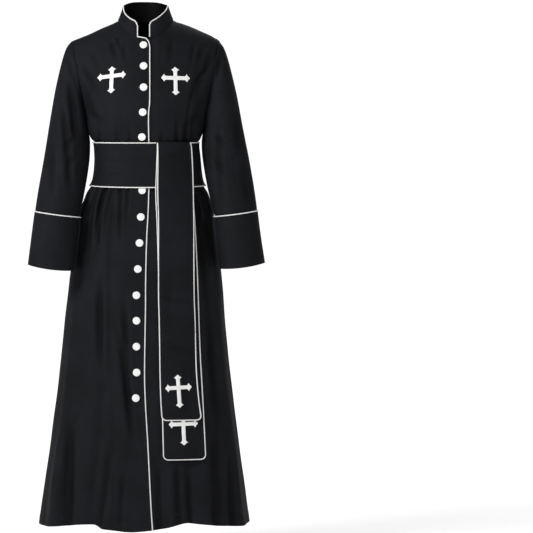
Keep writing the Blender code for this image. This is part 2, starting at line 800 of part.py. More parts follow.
# ---------------------------------------------------------------- sleeves and cuffs
def ring_point(ring, turn, sign, proud=0.0):
    """A point of a tilted oval ring; turn is 0 at its outer point and rises over the front."""
    level = ring["out_z"]
    near = inner = drop = 0.0
    if sign < 0:
        inner = smooth(RIGHT_SLEEVE_INNER, "z", level, "x")
        near = RIGHT_SLEEVE_SWAY * ease(level, *SWAY_HEIGHTS)
        drop = RIGHT_SLEEVE_DROP * ease(level, *DROP_HEIGHTS)
    if sin(turn) > 0:
        drop += CUFF_SAG * ease(level, *SAG_HEIGHTS) * sin(turn) ** 2
    out = Vector((ring["out_x"] - near, 0, ring["out_z"]))
    within = Vector((ring["in_x"] - near - inner, 0, ring["in_z"]))
    half = (out - within) / 2
    half = half.normalized() * (half.length + proud)
    point = (out + within) / 2 + half * cos(turn)
    forward = ring["forward"] + (ring["depth"] + proud) * sin(turn)
    return Vector((sign * point.x, -forward, point.z - drop))


def ring_points(ring, sign, proud=0.0):
    return [ring_point(ring, 2 * pi * k / AROUND_SLEEVE, sign, proud)
            for k in range(AROUND_SLEEVE)]


def armhole_ring(sign):
    """The sleeve's first ring, a seam's gap outside the armhole."""
    away = armhole_plane(1) * SEAM
    points = []
    for k in range(AROUND_SLEEVE):
        back = k > ARMHOLE_ROWS
        step = k - ARMHOLE_ROWS if back else ARMHOLE_ROWS - k
        x, z = armhole_point(step, back)
        y = reach(x, z, back) * (1 if back else -1)
        if step in (0, ARMHOLE_ROWS):
            y = 0.0
        point = Vector((x, y, z)) + away
        points.append(Vector((sign * point.x, point.y, point.z)))
    return points


def between(first, last, t):
    return {key: first[key] + (last[key] - first[key]) * t for key in first}


def ring_plane(ring, sign):
    along = Vector((ring["out_x"] - ring["in_x"], 0, ring["out_z"] - ring["in_z"])).normalized()
    return Vector((sign * -along.z, 0, along.x))


def cuff_rings():
    first = dict(SLEEVE_RINGS[-1])
    first["out_z"] -= SEAM
    first["in_z"] -= SEAM
    return [between(first, CUFF_END, i / CUFF_ROWS) for i in range(CUFF_ROWS + 1)]


def make_sleeves(collection, look):
    for side, sign in (("right", -1), ("left", 1)):
        grid = [armhole_ring(sign)] + [ring_points(ring, sign) for ring in SLEEVE_RINGS]
        ends = {0: armhole_plane(sign), len(grid) - 1: ring_plane(SLEEVE_RINGS[-1], sign)}
        wall("sleeve_" + side, grid, collection, look, ring=True,
             flat=lambda i, j: ends.get(i), outward=Vector((-sign, 0, 0)))
        rings = cuff_rings()
        cuff = [ring_points(ring, sign, CUFF_PROUD) for ring in rings]
        cuff_ends = {0: ring_plane(rings[0], sign), CUFF_ROWS: ring_plane(rings[-1], sign)}
        wall("cuff_" + side, cuff, collection, look, thickness=CLOTH, ring=True,
             flat=lambda i, j: cuff_ends.get(i), outward=Vector((-sign, 0, 0)))


# ---------------------------------------------------------------- collar
def collar_angles():
    """Angles of the collar's columns, from the wearer's right end round the back to the left.

    They are those of the neckline's own points, and a few more where the ends round off.
    """
    last = asin(COLLAR_END_LEFT / NECK_WIDTH) - 2 * pi
    steps = [NECK_STEP * k for k in range(-1, -4 * NECK_ROWS, -1)]
    corners = [radians(angle) for angle in COLLAR_CORNERS]
    return sorted(steps + corners, reverse=True) + [last]


def neck_seam(angle):
    """The neckline as sewn, straight from each of the bodice's points to the next."""
    step = floor(angle / NECK_STEP)
    share = angle / NECK_STEP - step
    return neck_point(step * NECK_STEP).lerp(neck_point((step + 1) * NECK_STEP), share)


def collar_point(angle, height):
    """A point of the collar at an angle and at a share of its height."""
    base = neck_seam(angle) + Z_AXIS * SEAM
    front = degrees(acos(min(max(cos(angle), -1.0), 1.0)))
    width = NECK_WIDTH + (COLLAR_TOP_WIDTH - NECK_WIDTH) * ease(front, *COLLAR_LEAN)
    depth = COLLAR_TOP_BACK if cos(angle) < 0 else COLLAR_TOP_FRONT
    top = Vector((width * sin(angle), -depth * cos(angle),
                  smooth(COLLAR, "angle", degrees(angle), "z")))
    return base.lerp(top, height)


def make_collar(collection, look):
    angles = collar_angles()
    grid = []
    for i in range(COLLAR_ROWS + 1):
        grid.append([collar_point(angle, i / COLLAR_ROWS) for angle in angles])
    wall("collar", grid, collection, look, outward=Y_AXIS,
         flat=lambda i, j: Z_AXIS if i == 0 else None)


# ---------------------------------------------------------------- cincture
def waist_point(angle, z, out):
    """A point round the waist at a distance out from the bodice, which the cincture passes over."""
    width = section(z, "width") + out
    depth = section(z, "back" if cos(angle) < 0 else "front") + out
    power = 2 / SECTION_POWER
    x = width * abs(sin(angle)) ** power * (1 if sin(angle) >= 0 else -1)
    y = -depth * abs(cos(angle)) ** power * (1 if cos(angle) >= 0 else -1)
    return Vector((x + sway(angle, z), y, z))


def band_point(angle, z, out):
    """A point of the band, which is tilted with its front down."""
    share = (z - BAND_BOTTOM_Z) / (BAND_TOP_Z - BAND_BOTTOM_Z)
    tilt = BAND_TILT_BOTTOM + (BAND_TILT_TOP - BAND_TILT_BOTTOM) * share
    point = waist_point(angle, z, out)
    return point + Z_AXIS * (tilt * point.y)


def band_angle(x, z, out):
    """The angle at which the front of waist_point() crosses a given positive x."""
    width = section(z, "width") + out
    angle = 0.0
    for _ in range(4):
        share = (x - sway(angle, z)) / width
        angle = asin(min(share, 1.0) ** (SECTION_POWER / 2))
    return angle


def band_grid(out, rows=BAND_ROWS):
    grid = []
    for i in range(rows + 1):
        z = BAND_BOTTOM_Z + (BAND_TOP_Z - BAND_BOTTOM_Z) * i / rows
        first = band_angle(BAND_END_X, z, out)
        last = band_angle(BAND_END_X + BAND_GAP, z, out) - 2 * pi
        line = []
        for j in range(BAND_COLUMNS + 1):
            angle = first + (last - first) * j / BAND_COLUMNS
            line.append(band_point(angle, z, out))
        grid.append(line)
    return grid


def fall_point(which, u, z, out):
    rows = FALLS[which]
    left = smooth(rows, "z", z, "left")
    right = smooth(rows, "z", z, "right")
    x = left + (right - left) * u
    proud = FALL_CLEAR[which] + out - FALL_SETTLE * ease(z, *SETTLE_HEIGHTS)
    return waist_point(band_angle(x, z, proud), z, proud)


def fall_heights(which):
    top, bottom = FALLS[which][0]["z"], FALLS[which][-1]["z"]
    between_ends = [z for z in FALL_HEIGHTS if bottom + 0.02 < z < top - 0.005]
    return [top] + between_ends + [bottom]


def make_cincture(collection, look):
    band = band_grid(BAND_CLEAR + CLOTH)
    wall("cincture_band", band, collection, look, outward=Y_AXIS,
         flat=lambda i, j: Z_AXIS if i in (0, BAND_ROWS) else None)
    for which in ("front", "rear"):
        grid = [[fall_point(which, j / FALL_COLUMNS, z, CLOTH)
                 for j in range(FALL_COLUMNS + 1)] for z in fall_heights(which)]
        wall("fall_" + which, grid, collection, look, outward=-Y_AXIS)


# ---------------------------------------------------------------- buttons and crosses
BUTTON_PROFILE = table("radius height", (
    (0.90, 0.00),
    (1.00, 0.30),
    (0.86, 0.82),
    (0.45, 1.00),
))


def button(name, place, normal, collection, look):
    """A domed button that lies on the cloth, facing along a normal."""
    bm = bmesh.new()
    rings = []
    for row in BUTTON_PROFILE:
        radius, height = BUTTON_RADIUS * row["radius"], BUTTON_HEIGHT * row["height"]
        rings.append([bm.verts.new((radius * cos(2 * pi * k / BUTTON_SIDES),
                                    radius * sin(2 * pi * k / BUTTON_SIDES), height))
                      for k in range(BUTTON_SIDES)])
    for low, high in zip(rings, rings[1:]):
        for k in range(BUTTON_SIDES):
            m = (k + 1) % BUTTON_SIDES
            bm.faces.new((low[k], low[m], high[m], high[k]))
    bm.faces.new(rings[0][::-1])
    bm.faces.new(rings[-1])
    item = add_object(name, bm, collection, look)
    item.rotation_mode = "QUATERNION"
    item.rotation_quaternion = normal.to_track_quat("Z", "Y")
    item.location = place + normal * BUTTON_LIFT
    return item


def make_buttons(collection, look):
    step = 0.004
    for number, row in enumerate(FRONT_BUTTONS, 1):
        z = row["z"]
        x = edge_x(z) - row["inset"]
        here = front_point(x, z, 0.0)
        across = front_point(x + step, z, 0.0) - front_point(x - step, z, 0.0)
        along = front_point(x, z + step, 0.0) - front_point(x, z - step, 0.0)
        normal = across.cross(along).normalized()
        button("button_front_%02d" % number, here, normal, collection, look)
    rings = cuff_rings()
    for side, sign in (("right", -1), ("left", 1)):
        for number, row in enumerate(CUFF_BUTTONS, 1):
            def place(turn, down):
                ring = between(rings[0], CUFF_END, row["down"] + down)
                return ring_point(ring, turn - radians(row["angle"]), sign, CUFF_PROUD)

            around = place(0.05, 0.0) - place(-0.05, 0.0)
            along = place(0.0, 0.05) - place(0.0, -0.05)
            normal = around.cross(along).normalized() * sign
            button("button_cuff_%s_%d" % (side, number), place(0.0, 0.0), normal,
                   collection, look)


def cross_arm(length):
    """Stations of one arm from the crossing to the tip: distance out, and half width."""
    first = CROSS_TIP[0]["left"]
    stations = [(CROSS_BAR, CROSS_BAR)]
    stations.append(((length - first + CROSS_BAR) / 2, CROSS_TIP[0]["half"]))
    stations += [(length - row["left"], row["half"]) for row in CROSS_TIP]
    return stations


def cross(row, place, collection, look):
    """A raised cross on a panel; place(x, z, out) gives a point out from the panel."""
    arms = (((0, 1), row["up"]), ((1, 0), row["span"]), ((0, -1), row["down"]),
            ((-1, 0), row["span"]))
    bm = bmesh.new()
    layers = []
    for out in (CROSS_LIFT, CROSS_LIFT + CROSS_THICK):
        layer = []
        for (dx, dz), length in arms:
            pairs = []
            for far, half in cross_arm(length):
                pair = []
                for sign in (-1, 1):
                    x = dx * far + sign * dz * half
                    z = dz * far - sign * dx * half
                    pair.append(place(row["x"] + x + row["lean"] * z,
                                      row["z"] + z + row["rise"] * x, out))
                pairs.append(pair)
            layer.append(pairs)
        layers.append(layer)
    verts = [[[[bm.verts.new(p) for p in pair] for pair in pairs] for pairs in layer]
             for layer in layers]
    for layer in verts:
        for arm in layer:
            for near, far in zip(arm, arm[1:]):
                bm.faces.new((near[0], near[1], far[1], far[0]))
        up, down = layer[0][0], layer[2][0]
        bm.faces.new((up[0], up[1], down[0], down[1]))
    bmesh.ops.remove_doubles(bm, verts=bm.verts, dist=0.00005)
    open_edges = [edge for edge in bm.edges if len(edge.link_faces) == 1]
    bmesh.ops.bridge_loops(bm, edges=open_edges)
    add_object(row["name"], bm, collection, look)


def make_crosses(collection, look):
    def on_chest(x, z, out):
        return body_point(x, z, False, out)

    for row in CROSSES:
        if "chest" in row["name"]:
            place = on_chest
        else:
            which = "front" if row["name"].endswith("front") else "rear"

            def place(x, z, out, which=which):
                left = smooth(FALLS[which], "z", z, "left")
                right = smooth(FALLS[which], "z", z, "right")
                return fall_point(which, (x - left) / (right - left), z, out + CLOTH)
        cross(row, place, collection, look)


# ---------------------------------------------------------------- piping
def along_collar(angle, height):
    """A point of the collar's edge, half way through its thickness."""
    return collar_point(angle, height) + Vector((-sin(angle), cos(angle), 0)) * (CLOTH / 2)


def collar_cord(angles, sign):
    """The piping along the collar's top from its side to an end, and down that end."""
    border = [along_collar(angle, 1.0) for angle in angles]
    border += [along_collar(angles[-1], height) for height in CORD_ENDS]
    turns = angles + [angles[-1]] * len(CORD_ENDS)
    steps = [(b - a).normalized() for a, b in zip(border, border[1:])]
    points = []
    for k, turn in enumerate(turns):
        before, after = steps[max(k - 1, 0)], steps[min(k, len(steps) - 1)]
        along = (before + after).normalized()
        away = along.cross(Vector((sin(turn), -cos(turn), 0))).normalized() * sign
        points.append(border[k] + away * BESIDE / sqrt((1 + before.dot(after)) / 2))
    return points


def make_piping(collection, look):
    start = neck_point(-NECK_STEP)
    throat = front_point(edge_x(THROAT_Z), THROAT_Z, 0.0)
    points = [start.lerp(throat, share) + Z_AXIS * NECK_LIFT for share in (0.05, 0.3, 0.55, 0.8)]
    above = THROAT_Z + THROAT_CORNER
    points.append(front_point(edge_x(above) + THROAT_CORNER, above, 0.0))
    for z in bodice_heights(THROAT_Z - 0.0010)[::-1] + list(SKIRT_HEIGHTS[1:]):
        slope = (edge_x(z + SLOPE_STEP) - edge_x(z - SLOPE_STEP)) / (2 * SLOPE_STEP)
        beside = BESIDE * sqrt(1 + slope * slope) + THROAT_BESIDE * ease(z, *THROAT_HEIGHTS)
        points.append(front_point(edge_x(z) + beside, z, -FRONT_SINK))
    piping("piping_front_edge", points, collection, look)

    angles = collar_angles()
    right = [angle for angle in angles[::-1] if angle > -pi / 2 - 0.01]
    left = [angle for angle in angles if angle < -3 * pi / 2 + 0.01]
    piping("piping_collar_right", collar_cord(right, -1), collection, look)
    piping("piping_collar_left", collar_cord(left, 1), collection, look)

    for side, sign in (("right", -1), ("left", 1)):
        points = ring_points(cuff_rings()[0], sign, CUFF_PROUD + BESIDE + SEAM)
        piping("piping_cuff_" + side, points, collection, look, closed=True)

    out = BAND_CLEAR + CLOTH / 2
    for name, z in (("top", BAND_TOP_Z + BESIDE), ("bottom", BAND_BOTTOM_Z - BESIDE)):
        first = band_angle(BAND_END_X - BAND_PIPING_START, z, out)
        last = band_angle(BAND_PIPING_STOP, z, out) - 2 * pi
        points = [band_point(first + (last - first) * j / BAND_COLUMNS, z, out)
                  for j in range(BAND_COLUMNS + 1)]
        piping("piping_band_" + name, points, collection, look)
    points = []
    for i in range(BAND_ROWS + 1):
        z = BAND_BOTTOM_Z + (BAND_TOP_Z - BAND_BOTTOM_Z) * i / BAND_ROWS
        points.append(band_point(band_angle(BAND_END_X + BESIDE, z, out), z, out))
    piping("piping_band_end", points, collection, look)

    for which in ("front", "rear"):
        heights = fall_heights(which)
        level = CLOTH / 2

        def edge(side, z):
            rows = FALLS[which]
            width = smooth(rows, "z", z, "right") - smooth(rows, "z", z, "left")
            step = BESIDE / width
            return fall_point(which, -step if side == "left" else 1 + step, z, level)

        low = heights[-1]
        under = [fall_point(which, j / FALL_COLUMNS, low, level) - Z_AXIS * BESIDE
                 for j in range(FALL_COLUMNS + 1)]
        left = [edge("left", z) for z in heights]
        right = [edge("right", z) for z in heights[::-1]]
        aside = (right[0] - left[-1]).normalized() * FALL_CORNER
        down = Z_AXIS * FALL_CORNER
        left.append((left[-1] + under[0]) / 2 - aside - down)
        right.insert(0, (right[0] + under[-1]) / 2 + aside - down)
        points = left + under + right
        piping("piping_fall_" + which, points, collection, look)


def build():
    clear_scene()
    garment = bpy.data.collections.new("cassock")
    bpy.context.scene.collection.children.link(garment)
    black = material("black_twill", (0.012, 0.012, 0.014), 0.85)
    white = material("white_trim", (0.85, 0.85, 0.84), 0.55)
    make_bodice_and_skirt(garment, black)
    make_sleeves(garment, black)
    make_collar(garment, black)
    make_cincture(garment, black)
    make_buttons(garment, white)
    make_crosses(garment, white)
    make_piping(garment, white)


build()
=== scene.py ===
from collections import namedtuple
from math import asin, pi, radians

import bmesh
import bpy
import numpy as np
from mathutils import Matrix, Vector


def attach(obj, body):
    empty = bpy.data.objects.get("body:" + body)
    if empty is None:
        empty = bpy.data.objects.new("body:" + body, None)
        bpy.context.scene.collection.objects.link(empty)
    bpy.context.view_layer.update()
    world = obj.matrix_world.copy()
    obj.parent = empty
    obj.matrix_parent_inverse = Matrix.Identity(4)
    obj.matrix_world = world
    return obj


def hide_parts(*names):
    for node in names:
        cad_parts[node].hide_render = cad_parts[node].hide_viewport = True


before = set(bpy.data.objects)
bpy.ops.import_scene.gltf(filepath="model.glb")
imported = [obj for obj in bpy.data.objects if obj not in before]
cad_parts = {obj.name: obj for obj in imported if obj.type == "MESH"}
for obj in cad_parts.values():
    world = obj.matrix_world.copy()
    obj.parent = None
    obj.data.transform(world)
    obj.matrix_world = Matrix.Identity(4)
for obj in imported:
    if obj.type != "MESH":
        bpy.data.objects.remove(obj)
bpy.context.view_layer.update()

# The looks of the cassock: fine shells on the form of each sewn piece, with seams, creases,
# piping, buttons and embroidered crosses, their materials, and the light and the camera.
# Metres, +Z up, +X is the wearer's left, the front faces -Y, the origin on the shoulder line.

# ---------------------------------------------------------------- sizes (metres)
X_AXIS, Y_AXIS, Z_AXIS = np.eye(3)
BOTH = (("right", -1), ("left", 1))         # the wearer's sides and their signs of x

CLOTH = 0.0016                  # thickness of a wall
SEAM = 0.0003                   # gap between neighbours
PIPING = 0.0014                 # radius of the solids' piping
CORD = PIPING * 1.15            # radius of the piping that is seen
BESIDE = PIPING + SEAM          # from an edge to the middle of the piping beside it

WAIST_Z, CHEST_Z, UNDERARM_Z, HEM_Z = -0.381, -0.220, -0.256, -1.3635
THROAT_Z = -0.0457              # top of the overlapped front edge, between the collar ends
UNDERARM_X, SHOULDER_X = 0.160, 0.199
FULL_CLIMB = 0.220              # what counts as the shoulder's height, below the chest line
ROUNDING_FRONT, ROUNDING_BACK = 1.22, 0.85  # how the chest and the back round upwards
POWER = 2.25                    # sections are ovals of this power: 2 is an ellipse

NECK_WIDTH, NECK_FRONT, NECK_BACK = 0.076, 0.0796, 0.060
COLLAR_TOP_WIDTH, COLLAR_TOP_DEPTH, COLLAR_END_LEFT = 0.0610, 0.0600, 0.0130
COLLAR_LEAN = (10, 60)          # degrees from the front over which it starts to lean inwards
COLLAR_HOLLOW = 0.87            # below 1, the collar's side is a little hollow

UNDERLAP, UNDERLAP_DROP, UNDERLAP_LOWER = 0.036, 0.0016, 0.004
LAP_RISE = (0.006, 0.030)       # from the edge, where the left front comes out from under it
THROAT_DROP, THROAT_BESIDE, THROAT_HEIGHTS = 0.0016, 0.0005, (-0.120, -0.060)

BAND_TOP_Z, BAND_BOTTOM_Z = -0.3240, -0.4365
BAND_TILT_TOP, BAND_TILT_BOTTOM = 0.030, 0.058
BAND_CLEAR, BAND_END_X, BAND_GAP = 0.0060, 0.0300, 0.005

LIFT_HEIGHTS = (-0.170, -0.040)
HEM_RISE_TOP = -1.080
FOLD_STARTS, FOLD_ENDS = 0.10, 0.25         # heights over which a skirt fold comes and goes

NECK_ROWS, ARMHOLE_ROWS = 5, 10
NECK_STEP = pi / 2 / NECK_ROWS
SIDE_HEIGHTS = (WAIST_Z + SEAM / 2, -0.3260, -0.3155, -0.2900, UNDERARM_Z)
SIDE_ROWS = len(SIDE_HEIGHTS) - 1
MIDDLE_SHARES = (0.0, 0.12, 0.24, 0.36, 0.49, 0.62, 0.75, 0.87, 0.955, 1.0)


def table(columns, rows):
    """Rows by the names of their columns; all but those marked * are in millimetres."""
    row_of = namedtuple("Row", columns.replace("*", ""))
    return [row_of(*(value if "*" in name else value / 1000
                     for name, value in zip(columns.split(), row))) for row in rows]


SECTIONS = table("z width front back", (
    (60, 220, 117, 115), (-90, 220, 117, 115), (-140, 202, 118, 115), (-180, 186, 119, 114),
    (-220, 171, 120, 112), (-256, 160, 118, 107), (-290, 156, 113, 99), (-300, 152, 111, 96),
    (-309, 148.5, 109, 94), (-316, 144.5, 108, 93), (-324, 137, 107, 92), (-350, 136.4, 105, 90),
    (-381, 138, 104, 90), (-408, 140.8, 104, 92), (-430, 146, 105, 95), (-446, 156.5, 106, 99),
    (-458, 164, 108, 105), (-480, 171, 112, 112), (-510, 180.3, 117, 120), (-530, 184.5, 120, 124),
    (-560, 189, 123, 129), (-600, 194.8, 127, 134), (-640, 201, 131, 139), (-720, 210.5, 137, 147),
    (-840, 220, 146, 156), (-960, 232, 156, 166), (-1080, 247, 167, 177), (-1200, 262, 178, 188),
    (-1363.5, 283, 191, 200),
))
SHOULDER = table("x z", (
    (0, 40), (50, 21), (76, 7), (86, 1.5), (100, -4.3), (124, -14), (151, -27.2), (199, -47.5),
    (240, -68),
))
LEFT_LIFT = table("x lift", (           # the left shoulder lies a little higher
    (70, 0), (83, 1.2), (97, 3.3), (124, 5.2), (151, 7.3), (178, 7.1), (190, 4.5), (202.6, 1.6),
    (215, 0),
))
SWAY = table("z x", (                   # the garment hangs a little to the wearer's left
    (-290, 0), (-325, 1.5), (-370, 5.5), (-420, 6.5), (-450, 5), (-480, 3.5), (-560, 3.2),
    (-620, 2.5), (-720, 0.8), (-900, 0),
))
FRONT_EDGE = table("z x", (             # the edge of the right front, which laps over the left
    (0, 0), (-44, 1), (-50, 5), (-59, 8.3), (-72, 9.5), (-215, 9.5), (-245, 6.6), (-290, 6.6),
    (-380, 8.5), (-480, 6.6), (-530, 4.4), (-585, 1.4), (-700, -1.4), (-760, -1.6), (-950, -4.1),
    (-1030, -1.4), (-1120, 4), (-1230, 9.5), (-1300, 13), (-1363.5, 17.2),
))

# How far the hem rises, and how high the collar stands, by angle from the centre front.
HEM = table("angle* rise", (
    (-100, 8), (-76, 4.5), (-58, 7), (-41, 15.2), (-27, 18), (-23, 9), (-18, 5.5), (-6, 0.5),
    (2, 4.5), (10, 11.2), (15, 18), (20, 23.2), (27, 20), (43, 12.6), (64, 7.1), (81, 11),
    (100, 11), (118, 6), (135, -2), (165, -4), (180, -1), (195, -4), (225, -3), (242, 4), (260, 8),
))
COLLAR = table("angle* z", (
    (-18, -9.5), (-21, -1.4), (-24.5, 3), (-29, 5.5), (-43, 11.3), (-63, 21.3), (-76, 31),
    (-90, 46), (-114, 52.9), (-136, 59), (-152, 61.6), (-180, 62.3), (-205, 61.1), (-220, 58.7),
    (-240, 53.6), (-270, 46.5), (-281, 41.5), (-298, 30.2), (-319, 19.2), (-335, 9.5),
    (-346.7, 1.3), (-348.5, -1.5), (-350.2, -6.5),
))

# Soft folds of the skirt by angle from the centre front, as in the solids: first those in
# front, from the right to the left, then those behind.
FOLDS = table("waist* hem* spread* depth_waist depth_hem top bottom", (
    (-44, -50, 5, 8, 1, -400, -850), (-27, -15, 4, 6, 5, -400, -1400),
    (-22, -27, 4.5, 0, 11, -900, -1400), (-50, -50, 6, 0, 10, -800, -1400),
    (-62, -64, 6, 0, -6, -700, -1400), (-88, -88, 12, 0, -6, -700, -1400),
    (9, 9, 4.5, 0, 6, -1020, -1400), (26, 24, 5, 5, 10, -850, -1400),
    (46, 52, 5, 7, 7, -400, -1400), (66, 66, 6, 0, -6, -700, -1400),
    (62, 66, 4.5, 5, 0, -400, -800), (-60, -66, 4.5, 5, 0, -400, -800),
    (132, 130, 4.5, 6, 0, -400, -800), (164, 162, 4.5, 5, 0, -400, -750),
    (195, 196, 4.5, 6, 0, -400, -750), (224, 222, 4.5, 6, 0, -400, -800),
    (118, 122, 5, 6, 10, -400, -1400), (147, 145, 5, 7, 9, -400, -1400),
    (180, 182, 4, 8, 3, -400, -1250), (210, 207, 5, 7, 9, -400, -1400),
    (240, 236, 5, 7, 13, -400, -1400),
))

*SLEEVE_RINGS, CUFF_END = table("out_x out_z in_x in_z depth forward", (
    (213, -64, 161.2, -262, 52, 0), (224, -93, 161.2, -268, 56, 1),
    (235.5, -138, 160.6, -276, 59, 2), (247.5, -193, 159, -286, 60, 4),
    (259, -252, 156.5, -300, 60, 6), (270, -310, 153, -326, 59, 11),
    (281, -368, 155.5, -372, 57, 21), (291.5, -435, 166.5, -442, 55, 39),
    (301, -507, 187, -522.5, 54, 62),
    (320.5, -647, 197.5, -663, 54, 90),
))
CUFF_PROUD = 0.0012             # how far the cuff lies outside the sleeve's rings
RIGHT_SLEEVE_INNER = table("z x", (     # its inner edge lies this much closer still
    (-435, 0), (-507, 4.8), (-580, 3), (-647, 0),
))
RIGHT_SLEEVE_SWAY, SWAY_HEIGHTS = 0.0042, (-0.150, -0.400)
RIGHT_SLEEVE_DROP, DROP_HEIGHTS = 0.005, (-0.400, -0.650)
CUFF_SAG, SAG_HEIGHTS = 0.0045, (-0.420, -0.650)
AROUND = 120                    # points round a sleeve

FALLS = {
    "front": table("z left right", (
        (-322, 34, 119), (-340, 34.8, 122.2), (-390, 35, 125), (-440, 34.5, 126.4),
        (-480, 35.2, 126.8), (-510, 36.4, 127.2), (-560, 37, 127.7), (-620, 36.6, 127.8),
        (-740, 36.8, 128.5), (-800, 38.4, 130.8), (-870, 39.6, 132.2), (-940, 40.6, 134.6),
        (-1010, 42.6, 140.5), (-1064, 46, 147.8),
    )),
    "rear": table("z left right", (
        (-333.5, 34, 119), (-460, 29.5, 125.5), (-530, 32.5, 130), (-600, 34.8, 134),
        (-680, 36.8, 137.4), (-750, 39.7, 139.8), (-830, 41.5, 142.3), (-900, 43, 145.3),
        (-970, 44.8, 149.3), (-1040, 46.8, 153), (-1120, 48.8, 157), (-1169, 50, 159),
    )),
}
FALL_CLEAR = {"rear": 0.0092, "front": 0.0137}      # inner face, measured out from the skirt
FALL_SETTLE, SETTLE_HEIGHTS = 0.0045, (-0.46, -0.62)
FALL_ROUND = 0.0105             # radius of the falls' lower corners
FOLD_OVER_RISE, FOLD_OVER_BACK, FOLD_OVER_LENGTH = 0.0034, 0.0110, 0.016

FRONT_BUTTONS = table("z inset", (
    (-62, 14.2), (-119, 15), (-176.5, 15), (-243, 14), (-309, 16.5), (-382, 17.5), (-453, 16.2),
    (-524, 17.1), (-593.5, 17), (-663, 19.8), (-733, 22.7), (-801, 21.9), (-870, 20.7),
    (-939, 19.5), (-1007, 23.1),
))
CUFF_BUTTONS = table("down* angle*", (
    (0.16, 40), (0.47, 41), (0.8, 42),
))
CROSSES = table("name* x z up down span rise* lean*", (
    ("cross_chest_right", -90.5, -146, 25, 45.5, 37.5, 0.117, 0.037),
    ("cross_chest_left", 80, -151.5, 29, 45.5, 37.5, -0.027, -0.026),
    ("cross_fall_front", 88, -979, 34, 53, 35, 0.049, -0.07),
    ("cross_fall_rear", 101, -1076, 34, 56, 38.5, 0.028, -0.038),
))


def smooth(rows, at, column):
    """Read a column on a smooth curve through the rows of a table, by its first column."""
    where, value = np.array(sorted(rows)).T[[0, rows[0]._fields.index(column)]]
    slope = np.empty_like(value)
    slope[1:-1] = (value[2:] - value[:-2]) / (where[2:] - where[:-2])
    slope[[0, -1]] = (np.diff(value) / np.diff(where))[[0, -1]]
    at = np.clip(at, where[0], where[-1])
    i = np.clip(np.searchsorted(where, at, side="right") - 1, 0, len(where) - 2)
    span = where[i + 1] - where[i]
    t = (at - where[i]) / span
    return ((1 + 2 * t) * (1 - t) ** 2 * value[i] + t * (1 - t) ** 2 * span * slope[i]
            + t * t * (3 - 2 * t) * value[i + 1] - t * t * (1 - t) * span * slope[i + 1])


def ease(value, low, high):
    """Rise smoothly from 0 at low to 1 at high."""
    t = np.clip((value - low) / (high - low), 0.0, 1.0)
    return t * t * (3 - 2 * t)


def stack(x, y, z):
    """Points with the given coordinates, as one array whose last axis is x, y, z."""
    return np.stack(np.broadcast_arrays(x, y, z), axis=-1)


def unit(vectors):
    """The same directions, one metre long."""
    return vectors / np.maximum(np.linalg.norm(vectors, axis=-1, keepdims=True), 1e-12)


def run_along(points):
    """How far along a line each of its points lies."""
    step = np.linalg.norm(np.diff(points, axis=0), axis=-1)
    return np.concatenate((np.zeros_like(step[:1]), np.cumsum(step, axis=0)))


# ---------------------------------------------------------------- the garment's form
def section(z, column):
    return smooth(SECTIONS, z, column)


def depth_at(z, back):
    return np.where(back, section(z, "back"), section(z, "front"))


def shoulder_z(x):
    return smooth(SHOULDER, np.abs(x), "z")


def edge_x(z):
    return smooth(FRONT_EDGE, z, "x")


def climb(x, z):
    """Height above the chest line as a share of the height of the shoulder seam there."""
    return (z - CHEST_Z) / np.where(z > CHEST_Z, shoulder_z(x) - CHEST_Z, FULL_CLIMB)


def climb_z(x, share):
    return CHEST_Z + share * np.where(share > 0, shoulder_z(x) - CHEST_Z, FULL_CLIMB)


def across(x, z):
    """How far to the side x is, as a share of the garment's half width."""
    return np.minimum(np.abs(x) / section(z, "width"), 1.0)


def flat_depth(x, z, back):
    """Depth of the plain section at a height, before the chest rounds upwards."""
    return depth_at(z, back) * (1 - across(x, z) ** POWER) ** (1 / POWER)


def reach(x, z, back):
    """How far the bodice's outer face lies from the plane of the side seams."""
    rise = np.clip(climb(x, z), 0.0, 1.0)
    rounding = ROUNDING_BACK if back else ROUNDING_FRONT
    return flat_depth(x, z, back) * np.cos(np.arcsin(rise)) ** rounding


def neck_point(angle):
    """The neckline, by angle from the centre front; negative is the wearer's right."""
    x = NECK_WIDTH * np.sin(angle)
    back = np.cos(angle) < 0
    depth = np.where(back, NECK_BACK, NECK_FRONT) * np.abs(np.cos(angle))
    rounding = np.where(back, ROUNDING_BACK, ROUNDING_FRONT)
    turn = (depth / flat_depth(x, 0.0, back)) ** (1 / rounding)
    z = CHEST_Z + (shoulder_z(x) - CHEST_Z) * np.sqrt(1 - turn * turn)
    return stack(x, np.where(back, depth, -depth), z)


def armhole_point(step):
    """The armhole on the +X side; step 0 is the underarm, ARMHOLE_ROWS is the shoulder."""
    share = (1 - np.cos(pi * step / ARMHOLE_ROWS)) / 2
    return (UNDERARM_X + (SHOULDER_X - UNDERARM_X) * share,
            UNDERARM_Z + (shoulder_z(SHOULDER_X) - UNDERARM_Z) * share)


def fold_depth(angle, z):
    """How far the folds push the skirt in (positive) or out, at an angle in degrees."""
    down, total = ease(z, WAIST_Z, HEM_Z), 0.0
    for fold in FOLDS:
        middle = fold.waist + (fold.hem - fold.waist) * down
        apart = (angle - middle + 180) % 360 - 180
        depth = fold.depth_waist + (fold.depth_hem - fold.depth_waist) * down
        depth = depth * ease(z, fold.top, fold.top - FOLD_STARTS)
        if fold.bottom > HEM_Z:
            depth = depth * (1 - ease(z, fold.bottom + FOLD_ENDS, fold.bottom))
        total = total + depth * np.exp(-(apart / fold.spread) ** 2)
    return total


def oval(turn, width, depth):
    """A point of a squared oval, by its turn in radians from the front."""
    power = 2 / POWER
    return (width * np.abs(np.sin(turn)) ** power * np.sign(np.sin(turn)),
            -depth * np.abs(np.cos(turn)) ** power * np.sign(np.cos(turn)))


